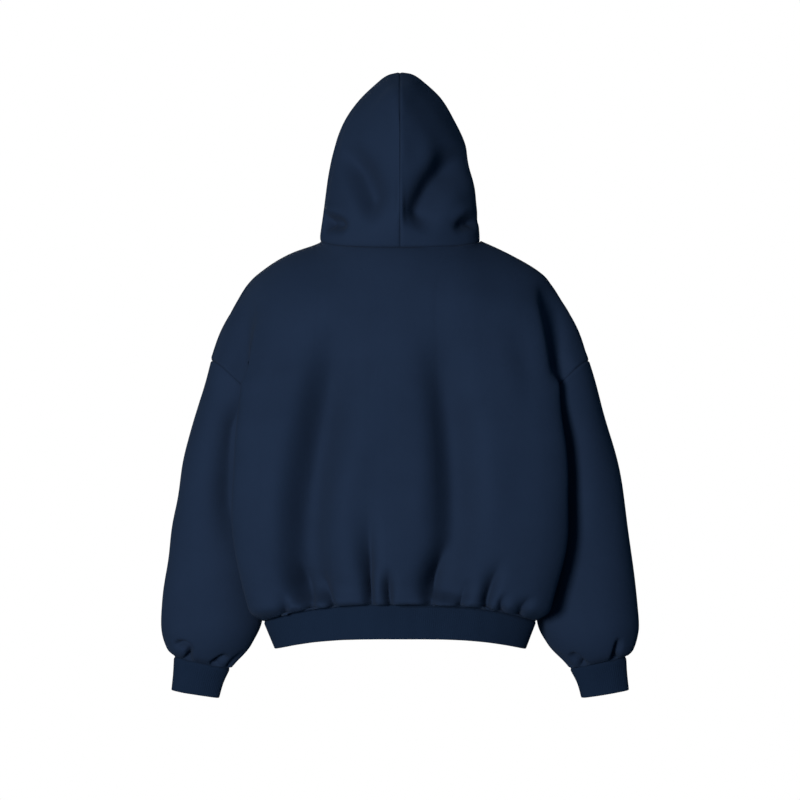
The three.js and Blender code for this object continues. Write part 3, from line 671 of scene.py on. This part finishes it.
EDGES = (np.s_[0, :], np.s_[-1, :], np.s_[:, 0], np.s_[:, -1])
NEXT_EDGES = (np.s_[1, :], np.s_[-2, :], np.s_[:, 1], np.s_[:, -2])


def unopposed(sums):
    """Unit vectors of a line of sums. Where normals cancel out, their neighbours' are taken."""
    places = np.arange(len(sums))
    good = np.linalg.norm(sums, axis=-1) > OPPOSED
    made = np.stack([np.interp(places, places[good], sums[good, k]) for k in range(3)], -1)
    return unit(made)


def share_seam_normals(sheets):
    """Turns the normals of pieces that are sewn together into one along their seam."""
    ends = []
    for index, sheet in enumerate(sheets):
        for number, edge in enumerate(EDGES):
            if sheet["seams"][number]:
                pairs = zip(sheet["formed"][edge], sheet["normals"][edge])
                ends += [(index, point, normal) for point, normal in pairs]
    tree = KDTree(len(ends))
    for number, (_, point, _) in enumerate(ends):
        tree.insert(point, number)
    tree.balance()
    turned = []
    for index, sheet in enumerate(sheets):
        total = np.zeros(sheet["normals"].shape)
        weights = np.zeros(sheet["seam"].shape)
        for number, edge in enumerate(EDGES):
            if not sheet["seams"][number]:
                continue
            own = sheet["normals"][edge]
            shared = own.copy()
            for k, point in enumerate(sheet["formed"][edge]):
                near = {}
                for _, found, distance in tree.find_range(point, SEAM_MEETING):
                    other = ends[found][0]
                    if other != index and distance < near.get(other, (FAR,))[0]:
                        near[other] = (distance, ends[found][2])
                for _, normal in near.values():
                    shared[k] += normal
            if number in sheet.get("middle_edges", ()):
                shared[:, 0] = 0
            shared = unopposed(shared)
            weight = np.exp(-((sheet["distances"][number] / SEAM_TURN) ** 2))
            step = (shared - own)[None] if number < 2 else (shared - own)[:, None]
            total += step * weight[..., None]
            weights += weight
        made = sheet["normals"] + total / np.maximum(weights, 1)[..., None]
        turned.append(unit(made))
    for sheet, normals in zip(sheets, turned):
        sheet["normals"] = normals


def finish_sheet(sheet):
    """Gives a sheet its outside, with the valleys of its seams, and its inside, with the allowances."""
    near = np.exp(-((sheet["seam"] / SEAM_HALF_WIDTH) ** 2))
    out = sheet["height"] - SEAM_DEPTH * near
    sheet["outer"] = sheet["formed"] + sheet["normals"] * out[..., None]
    inwards = THICKNESS[sheet["kind"]] + SEAM_ALLOWANCE * near
    inner = sheet["formed"] - sheet["normals"] * inwards[..., None]
    for sewn, edge, next_edge in zip(sheet["seams"], EDGES, NEXT_EDGES):
        if sewn:
            outwards = sheet["formed"][edge] - sheet["formed"][next_edge]
            length = np.linalg.norm(outwards, axis=-1, keepdims=True)
            inner[edge] += outwards / np.maximum(length, LEAST_STEP) * SEAM_OVERLAP
    sheet["inner"] = inner
    side = sheet.get("side")
    if side:
        sheet["outer"][..., 0] = side * np.maximum(sheet["outer"][..., 0] * side, 0)
        inner[..., 0] = side * np.maximum(inner[..., 0] * side, -SEAM_OVERLAP)


# The key row and the key column that the panels' points are spaced along.
CHEST_ROW = 4.5
FLANK_COLUMN = 3.0
FINE_COLUMNS = finely(SEAM_COLUMN, KEY_STEPS)
FINE_ROWS = finely(TOP_ROW, KEY_STEPS)
CHEST_LINE = smooth_panel(FINE_COLUMNS, np.array([CHEST_ROW]), True)[0]
FLANK_LINE = smooth_panel(np.array([FLANK_COLUMN]), FINE_ROWS, True)[:, 0]
HALF_COLUMNS = snapped(graded(CHEST_LINE, FINE_COLUMNS, SPACING, start=None), NECK_COLUMN)
COLUMNS = np.concatenate([-HALF_COLUMNS[:0:-1], HALF_COLUMNS])
ROWS = graded(FLANK_LINE, FINE_ROWS, SPACING, start=HEM_SPACING, reach=HEM_REACH)
ROWS = snapped(ROWS, UNDERARM_ROW)


def bloused(grid, outward):
    """Draws a panel's lowest rows level outwards, so that it overhangs the band."""
    flat = grid_normals(grid, False, outward)
    flat[..., 2] = 0
    flat = unit(flat)
    climb = (1 - np.exp(-ROWS / BLOUSE_TURN)) * (1 - smoothstep(ROWS, 0, BLOUSE_ROWS))
    reach = 1 - smoothstep(np.abs(COLUMNS), *BLOUSE_ENDS)
    return grid + flat * (BLOUSE_REACH * climb[:, None] * reach)[..., None]


def pressed(grid, depth, outward):
    """Presses folds and gathers in. Near the hem they go level, and never past the band's seam."""
    way = grid_normals(grid, False, outward)
    way[..., 2] *= smoothstep(ROWS, *LEVEL_ROWS)[:, None]
    way = unit(way)
    room = np.sum((grid - grid[:1])[..., :2] * way[..., :2], axis=-1)
    room = np.maximum(room, 0) + DEEPEST_FOLD * smoothstep(ROWS, *LEVEL_ROWS)[:, None]
    room = np.maximum(room, LEAST_ROOM)
    _, top, first, last = edge_distances(grid, False)
    seam = np.minimum(top, np.minimum(first, last))
    depth = np.where(depth > 0, room * np.tanh(depth / room), depth)
    return grid - way * (depth * smoothstep(seam, 0, SEAM_LIFT))[..., None]


def body_panel(is_back):
    word, outward = ("back", -1) if is_back else ("front", 1)
    folds, gathers = (BACK_FOLDS, BACK_GATHERS) if is_back else (FRONT_FOLDS, FRONT_GATHERS)
    grid = eased_below_neck(smooth_panel(COLUMNS, ROWS, is_back))
    grid = drawn_to_gathers(bloused(grid, outward), gathers)
    x, z = grid[..., 0], grid[..., 2]
    growth = lerp(FOLD_AT_HEM, 1, smoothstep(ROWS, *FOLD_GROWTH_ROWS))
    depth = folds_depth(folds, x, z) * growth[:, None]
    for gather in gathers:
        depth = depth + gather_depth(gather, x, z)
    grid = pressed(grid, depth, outward)
    waves = unevenness(x, z, BACK_WAVES if is_back else FRONT_WAVES)
    return cloth_sheet(f"{word}_panel", word, grid, False, outward, (1, 1, 1, 1), waves, "fleece")


def tube_points(section, turns):
    """The ring of a sleeve or cuff section: from the inner side (turn 0), round the back, the
    outer side (1) and the front, and back to the inner side (2)."""
    x, y, z, half_width, half_depth, tilt = section
    across = -np.cos(turns * np.pi) * half_width
    deep = np.sin(turns * np.pi) * half_depth
    tilt = math.radians(tilt)
    return np.stack([x + across * math.cos(tilt), y + deep, z + across * math.sin(tilt)], -1)


def armhole_loop(turns):
    back = armhole_point(np.minimum(turns, 1), True)
    front = armhole_point(2 - np.maximum(turns, 1), False)
    return np.where((turns <= 1)[:, None], back, front)


ARM_CLIMBS = climb_at(ROWS[ROWS >= UNDERARM_ROW])
TURNS = np.concatenate([ARM_CLIMBS, 2 - ARM_CLIMBS[-2:0:-1]])


def sleeve(side):
    keys = np.stack([armhole_loop(TURNS), *[tube_points(section, TURNS) for section in SLEEVE]])
    fine = finely(len(SLEEVE), KEY_STEPS)
    back = int(np.argmin(np.abs(TURNS - 0.5)))
    rows = graded(along(keys[:, back], fine), fine, TUBE_SPACING)
    grid = along(keys, rows)
    depth = np.zeros(grid.shape[:2])
    for turn, start, deep, half_turn in SLEEVE_GATHERS[side]:
        share = np.clip((rows - start) / (GATHER_DEEPEST_ROW - start), 0, 1)[:, None]
        depth += deep * share * np.exp(-(((TURNS - turn) / half_turn) ** 2))[None]
    grid[..., 0] *= side
    facing = grid_normals(grid, True, side)[..., 1]
    x, z = grid[..., 0], grid[..., 2]
    depth += folds_depth(SLEEVE_FOLDS[side], x, z) * smoothstep(facing, *SLEEVE_FACING)
    depth += unevenness(x + grid[..., 1], z, SLEEVE_WAVES, side)
    word = side_word(side)
    return cloth_sheet(f"{word}_sleeve", f"sleeve_{word}", grid, True, side, (1, 1, 0, 0), depth, "fleece")


def ribbed(sheet):
    """Raises the ribs of a band or cuff, whose points lie RIB_SAMPLES to a rib."""
    fade = smoothstep(sheet["seam"], 0, SEAM_LIFT)
    wave = np.cos(np.arange(fade.shape[1]) * 2 * np.pi / RIB_SAMPLES)
    sheet["height"] = RIB_HEIGHT * wave[None] * fade
    return sheet


def rib_places(line, places):
    """Evenly spaced places round a closed line, RIB_SAMPLES to a rib."""
    lengths = lengths_along(line)
    ribs = int(round(lengths[-1] / RIB_PITCH))
    count = ribs * RIB_SAMPLES
    return np.interp(np.arange(count) / count * lengths[-1], lengths, places)


def hem_band():
    fine = finely(360, DEGREE_STEPS)
    angles = rib_places(band_point(fine, 0), fine)
    grid = np.stack([band_point(angles, fall) for fall in np.linspace(0, 1, BAND_ROWS)])
    depth = unevenness(grid[..., 0] * BAND_WAVE_SQUEEZE, grid[..., 1], BAND_WAVES)
    return ribbed(cloth_sheet("hem_rib", "hem_band", grid, True, 1, (1, 0, 0, 0), depth, "rib"))


def cuff(side):
    fine = finely(2, TURN_STEPS)
    turns = rib_places(tube_points(CUFF[1], fine), fine)
    keys = np.stack([tube_points(section, turns) for section in CUFF])
    grid = along(keys, np.linspace(0, 2, CUFF_ROWS))
    grid[..., 0] *= side
    depth = unevenness(grid[..., 0], grid[..., 1] * CUFF_WAVE_SQUEEZE, CUFF_WAVES, side)
    word = side_word(side)
    made = cloth_sheet(f"{word}_cuff_rib", f"cuff_{word}", grid, True, side, (1, 0, 0, 0), depth, "rib")
    return ribbed(made)


# The key row and the reach that the hood's points are spaced along.
HOOD_MIDDLE_ROW = 4.0
HOOD_SIDE_REACH = 0.3


def hood_points(reaches, rows):
    """The hood's points: a row for each reach, from the centre seam (0) to the opening (1)."""
    rise, half_width, seam_y, side_y, edge_x, edge_y, roundness = along(HOOD, rows).T
    reach = reaches[:, None]
    sine = np.sin(reach * np.pi)
    cosine = np.cos(reach * np.pi)
    neck_z = neck_point(reaches)[:, 2][:, None]
    top = along(HOOD_TOP, reaches * (len(HOOD_TOP) - 1))[:, None]
    power = 2 / roundness
    back = cosine > 0
    x_back = half_width * np.clip(sine, 0, 1) ** power
    y_back = side_y + (seam_y - side_y) * np.clip(cosine, 0, 1) ** power
    x_front = edge_x + (half_width - edge_x) * sine
    y_front = side_y + (side_y - edge_y) * cosine
    z = neck_z + (top - neck_z) * rise
    return np.stack([np.where(back, x_back, x_front), np.where(back, y_back, y_front), z], -1)


def hood(side):
    fine_reach = finely(1, REACH_STEPS)
    fine_rows = finely(len(HOOD) - 1, KEY_STEPS)
    middle = hood_points(fine_reach, np.array([HOOD_MIDDLE_ROW]))[:, 0]
    side_line = hood_points(np.array([HOOD_SIDE_REACH]), fine_rows)[0]
    reaches = graded(middle, fine_reach, SPACING)
    rows = graded(side_line, fine_rows, SPACING)
    grid = hood_points(reaches, rows)
    grid[..., 0] *= side
    facing = grid_normals(grid, False, side)[..., 1]
    x, z = grid[..., 0], grid[..., 2]
    depth = folds_depth(HOOD_FOLDS[side], x, z) * smoothstep(facing, *HOOD_FACING)
    depth = depth + unevenness(x + grid[..., 1], z, HOOD_WAVES, side)
    word = side_word(side)
    made = cloth_sheet(
        f"{word}_hood_panel", f"hood_{word}", grid, False, side, (1, 0, 1, 1), depth, "fleece", HOOD_LIFT
    )
    from_edge = edge_distances(grid, False)[1]
    hem = HOOD_HEM_RISE * smoothstep(HOOD_HEM - from_edge, *HOOD_HEM_STEP)
    stitching = STITCH_DEPTH * np.exp(-(((from_edge - HOOD_HEM) / STITCH_HALF_WIDTH) ** 2))
    made["height"] = hem - stitching
    return made | dict(side=side, middle_edges=(0, 3))


def rim_rows(sheet):
    """Rows that round off the open edge, from the outer points to the inner ones."""
    if sheet["seams"][1]:
        return []
    outer, inner = sheet["outer"][-1], sheet["inner"][-1]
    outwards = unit(sheet["outer"][-1] - sheet["outer"][-2])
    middle, half = (outer + inner) / 2, (outer - inner) / 2
    radius = np.linalg.norm(half, axis=-1, keepdims=True)
    turns = np.arange(1, RIM_STEPS) * np.pi / RIM_STEPS
    return [middle + half * math.cos(t) + outwards * radius * math.sin(t) for t in turns]


def shell_mesh(sheet):
    """The closed mesh of a sheet, with its outside, inside and rims."""
    rims = rim_rows(sheet)
    outer, inner = sheet["outer"], sheet["inner"]
    height, width = outer.shape[:2]
    loop = np.concatenate([outer, np.array(rims).reshape(-1, width, 3), inner[::-1]])
    count = len(loop)
    wrap = sheet["wrap"]
    ring = outer if not wrap else np.concatenate([outer, outer[:, :1]], axis=1)
    u = lengths_along(ring, 1)
    v = lengths_along(ring, 0)
    end = v[-1:] + np.arange(1, len(rims) + 1).reshape(-1, 1) * RIM_STEP
    v_loop = np.concatenate([v, np.broadcast_to(end, (len(rims), v.shape[1])), v[::-1]])
    u_loop = np.concatenate([u, np.repeat(u[-1:], len(rims), axis=0), u[::-1]])
    uv = np.stack([u_loop, v_loop], -1) * MM

    steps = width if wrap else width - 1
    k, j = np.meshgrid(np.arange(count), np.arange(steps), indexing="ij")
    k, j = k.ravel(), j.ravel()
    after, beside = (k + 1) % count, (j + 1) % width
    quads = np.stack([k * width + j, k * width + beside, after * width + beside, after * width + j], -1)
    corner_uv = np.stack([uv[k, j], uv[k, j + 1], uv[after, j + 1], uv[after, j]], 1)
    inside = (k >= height + len(rims)) & (k < count - 1)
    if not wrap:
        i = np.arange(height - 1)
        back_i = count - 1 - i
        low = np.stack([i * width, (i + 1) * width, (back_i - 1) * width, back_i * width], -1)
        last = width - 1
        high = low[:, [1, 0, 3, 2]] + last
        quads = np.concatenate([quads, low, high])
        side_uv = [np.repeat(uv[i, edge][:, None], 4, axis=1) for edge in (0, last)]
        corner_uv = np.concatenate([corner_uv, *side_uv])
        inside = np.concatenate([inside, np.zeros(2 * len(i), bool)])
    if sheet["outward"] < 0:
        quads, corner_uv = quads[:, ::-1], corner_uv[:, ::-1]
    faces = quads.tolist()
    uv_list = corner_uv.reshape(-1, 2)
    if rims and not wrap:
        cap = np.arange(height - 1, height + len(rims) + 1) * width
        caps = [cap[::-1], cap + width - 1] if sheet["outward"] > 0 else [cap, (cap + width - 1)[::-1]]
        faces += [c.tolist() for c in caps]
        uv_list = np.concatenate([uv_list, np.repeat(uv[height - 1, :1], 2 * len(cap), axis=0)])
        inside = np.concatenate([inside, [False, False]])

    mesh = bpy.data.meshes.new(sheet["name"])
    mesh.from_pydata((loop.reshape(-1, 3) * MM).tolist(), [], faces)
    mesh.polygons.foreach_set("use_smooth", np.ones(len(faces), bool))
    mesh.polygons.foreach_set("material_index", inside.astype(np.int32))
    layer = mesh.uv_layers.new(name="cloth")
    layer.data.foreach_set("uv", uv_list.astype(np.float32).ravel())
    seam = sheet["seam"]
    seam = np.concatenate([seam, np.repeat(seam[-1:], len(rims), axis=0), seam[::-1]])
    # Each point's distance from a seam, which the materials read to paint shade along the seams.
    attribute = mesh.attributes.new("seam", "FLOAT", "POINT")
    attribute.data.foreach_set("value", (seam * MM).astype(np.float32).ravel())
    mesh.update()
    return mesh


class Shader:
    """Makes the nodes of one material."""

    def __init__(self, name):
        self.material = bpy.data.materials.new(name)
        self.material.use_nodes = True
        self.tree = self.material.node_tree
        self.tree.nodes.clear()

    def feed(self, socket, value):
        if isinstance(value, bpy.types.NodeSocket):
            self.tree.links.new(value, socket)
        else:
            socket.default_value = value

    def node(self, kind, settings=None, **inputs):
        made = self.tree.nodes.new(kind)
        for key, value in (settings or {}).items():
            setattr(made, key, value)
        for key, value in inputs.items():
            self.feed(made.inputs[key.replace("_", " ")], value)
        return made

    def math(self, operation, *values):
        made = self.node("ShaderNodeMath", {"operation": operation})
        for socket, value in zip(made.inputs, values):
            self.feed(socket, value)
        return made.outputs[0]

    def noise(self, vector, scale, detail, roughness):
        made = self.node("ShaderNodeTexNoise", Vector=vector, Scale=scale, Detail=detail, Roughness=roughness)
        return made.outputs["Fac"]

    def blend(self, a, a_share, b, b_share):
        return self.math("ADD", self.math("MULTIPLY", a, a_share), self.math("MULTIPLY", b, b_share))

    def mixed(self, factor, a, b):
        made = self.node("ShaderNodeMix", {"data_type": "RGBA"})
        for name, value in (("Factor", factor), ("A", a), ("B", b)):
            self.feed(next(s for s in made.inputs if s.name == name and s.enabled), value)
        return next(s for s in made.outputs if s.enabled)

    def bump(self, height, distance, strength=1.0, normal=None):
        made = self.node("ShaderNodeBump", Height=height, Distance=distance, Strength=strength)
        if normal:
            self.feed(made.inputs["Normal"], normal)
        return made.outputs["Normal"]

    def finish(self, shader):
        self.node("ShaderNodeOutputMaterial", Surface=shader)
        return self.material


def scaled(color, factor):
    return (*[c * factor for c in color], 1.0)


# How far the courses slant at the sides of a wale, the wales' share of the knit's relief, the
# darkest and lightest of the colour, and the painted shade that darkens it at a seam, with its reach in
# metres.
COURSE_SLANT = 3.0
WALE_SHARE = 0.6
TONES = (0.78, 1.22)
PAINTED_SHADE_AT_SEAM = 0.45
PAINTED_SHADE_REACH_AT_SEAM = 0.0016


def cloth_material(name, color, wale, course, nap_height, knit_height, sheen):
    """A knitted cloth: wales and courses at their real pitch in metres, a nap of short fibres,
    and a colour that varies slightly from fibre to fibre and from place to place."""
    shader = Shader(name)
    cloth_uv = shader.node("ShaderNodeUVMap", {"uv_map": "cloth"}).outputs["UV"]
    place = shader.node("ShaderNodeTexCoord").outputs["Object"]
    u, v = shader.node("ShaderNodeSeparateXYZ", Vector=cloth_uv).outputs[:2]
    wales = shader.math("SINE", shader.math("MULTIPLY", u, 2 * math.pi / wale))
    slant = shader.math("ABSOLUTE", shader.math("SINE", shader.math("MULTIPLY", u, math.pi / wale)))
    courses = shader.math("SINE", shader.blend(v, 2 * math.pi / course, slant, COURSE_SLANT))
    knit = shader.blend(wales, WALE_SHARE, courses, 1 - WALE_SHARE)
    nap = shader.noise(place, 900.0, 3.0, 0.65)
    clumps = shader.noise(place, 260.0, 2.0, 0.6)
    patches = shader.noise(place, 14.0, 3.0, 0.55)
    heather = shader.noise(place, 1500.0, 1.0, 0.5)
    tone = shader.blend(patches, 0.5, heather, 0.5)
    base = shader.mixed(tone, *(scaled(color, factor) for factor in TONES))
    # Painted shade: the colour darkens towards each seam, as if shade fell in the seam's valley.
    seam = shader.node("ShaderNodeAttribute", {"attribute_name": "seam"}).outputs["Fac"]
    painted_shade_mask = shader.node(
        "ShaderNodeMapRange", Value=seam, From_Min=0.0, From_Max=PAINTED_SHADE_REACH_AT_SEAM, To_Min=0.55, To_Max=1.0
    )
    with_painted_seam_shade = shader.mixed(painted_shade_mask.outputs["Result"], scaled(color, PAINTED_SHADE_AT_SEAM), base)
    normal = shader.bump(knit, knit_height)
    normal = shader.bump(clumps, nap_height, 0.8, normal)
    normal = shader.bump(nap, nap_height * 0.5, 0.7, normal)
    cloth = shader.node(
        "ShaderNodeBsdfPrincipled",
        Base_Color=with_painted_seam_shade,
        Roughness=0.92,
        Specular_IOR_Level=0.06,
        Sheen_Weight=sheen,
        Sheen_Roughness=0.45,
        Sheen_Tint=(0.42, 0.55, 0.78, 1.0),
        Normal=normal,
    )
    return shader.finish(cloth.outputs["BSDF"])


NAVY = (0.0133, 0.0245, 0.0518)
RIB_NAVY = (0.0081, 0.0176, 0.0395)
MATERIALS = {
    "fleece": cloth_material("navy_fleece", NAVY, 0.0012, 0.0016, 0.00035, 0.00010, 0.03),
    "rib": cloth_material("navy_rib", RIB_NAVY, 0.0017, 0.0012, 0.00018, 0.00016, 0.02),
}
INSIDES = {
    "fleece": cloth_material("navy_fleece_inside", NAVY, 0.0020, 0.0022, 0.00060, 0.00008, 0.08),
    "rib": MATERIALS["rib"],
}


def new_object(name, data):
    made = bpy.data.objects.new(name, data)
    bpy.context.scene.collection.objects.link(made)
    return made


def add_sheet(sheet):
    piece = new_object(sheet["name"], shell_mesh(sheet))
    piece.data.materials.append(MATERIALS[sheet["kind"]])
    piece.data.materials.append(INSIDES[sheet["kind"]])
    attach(piece, BODY)
    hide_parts(sheet["node"])


SHEETS = [body_panel(True), body_panel(False), hem_band()]
SHEETS += [make(side) for make in (sleeve, cuff, hood) for side in (1, -1)]
share_seam_normals(SHEETS)
for sheet in SHEETS:
    finish_sheet(sheet)
    add_sheet(sheet)

# The stage in metres, for the looks only.
FLOOR_Z = -1.45
FLOOR_RADIUS = 9.0
FLOOR_FADE = (1.0, 3.2)
DOME_RADIUS = 20.0
PALE = (0.86, 0.86, 0.86, 1.0)
WHITE = (1.0, 1.0, 1.0, 1.0)


def stage_object(name, bm, material):
    mesh = bpy.data.meshes.new(name)
    bm.to_mesh(mesh)
    bm.free()
    made = new_object(name, mesh)
    made.data.materials.append(material)
    made.visible_diffuse = False
    made.visible_glossy = False
    made.visible_transmission = False
    made.visible_shadow = False
    return made


def floor_material():
    """Pale and matt round the object, and plain white further out."""
    shader = Shader("pale_floor")
    place = shader.node("ShaderNodeTexCoord").outputs["Object"]
    away = shader.node("ShaderNodeVectorMath", {"operation": "LENGTH"}, Vector=place).outputs["Value"]
    near, far = FLOOR_FADE
    share = shader.node("ShaderNodeMapRange", Value=away, From_Min=near, From_Max=far).outputs["Result"]
    matt = shader.node("ShaderNodeBsdfDiffuse", Color=PALE)
    white = shader.node("ShaderNodeEmission", Color=WHITE)
    mix = shader.node("ShaderNodeMixShader")
    for socket, value in zip(mix.inputs, (share, matt.outputs[0], white.outputs[0])):
        shader.feed(socket, value)
    return shader.finish(mix.outputs[0])


def white_material():
    shader = Shader("white_backdrop")
    white = shader.node("ShaderNodeEmission", Color=WHITE)
    return shader.finish(white.outputs[0])


def build_stage():
    disc = bmesh.new()
    bmesh.ops.create_circle(disc, cap_ends=True, segments=96, radius=FLOOR_RADIUS)
    floor = stage_object("floor", disc, floor_material())
    floor.location.z = FLOOR_Z
    ball = bmesh.new()
    bmesh.ops.create_uvsphere(ball, u_segments=48, v_segments=24, radius=DOME_RADIUS)
    stage_object("backdrop", ball, white_material())


# Faint blue light from all round, and each lamp's name, place, size and power in watts.
SKY_BLUE = (0.34, 0.72, 1.0, 1.0)
SKY_STRENGTH = 0.165
LIT_PLACE = (0.0, 0.0, -0.3)
LIGHTS = [("key", (1.6, 4.3, -0.12), 1.2, 189.0), ("front_fill", (0.3, -4.2, 1.0), 2.0, 150.0)]


def area_light(name, place, size, power):
    data = bpy.data.lights.new(name, "AREA")
    data.shape = "DISK"
    data.size = size
    data.energy = power
    made = new_object(name, data)
    made.location = place
    made.rotation_euler = (Vector(LIT_PLACE) - Vector(place)).to_track_quat("-Z", "Y").to_euler()


def light_scene():
    world = bpy.data.worlds.new("studio")
    bpy.context.scene.world = world
    world.use_nodes = True
    background = world.node_tree.nodes["Background"]
    background.inputs["Color"].default_value = SKY_BLUE
    background.inputs["Strength"].default_value = SKY_STRENGTH
    for light in LIGHTS:
        area_light(*light)


CAMERA_Y = 5.0
VIEW_WIDTH = 1.28
VIEW_MIDDLE_Z = -0.254
SENSOR_WIDTH = 36.0


def place_camera():
    data = bpy.data.cameras.new("camera")
    data.sensor_width = SENSOR_WIDTH
    data.lens = SENSOR_WIDTH * CAMERA_Y / VIEW_WIDTH
    camera = new_object("camera", data)
    camera.location = (0.0, CAMERA_Y, VIEW_MIDDLE_Z)
    camera.rotation_euler = (math.pi / 2, 0.0, math.pi)
    bpy.context.scene.camera = camera


build_stage()
light_scene()
place_camera()
bpy.context.scene.view_settings.view_transform = "Standard"
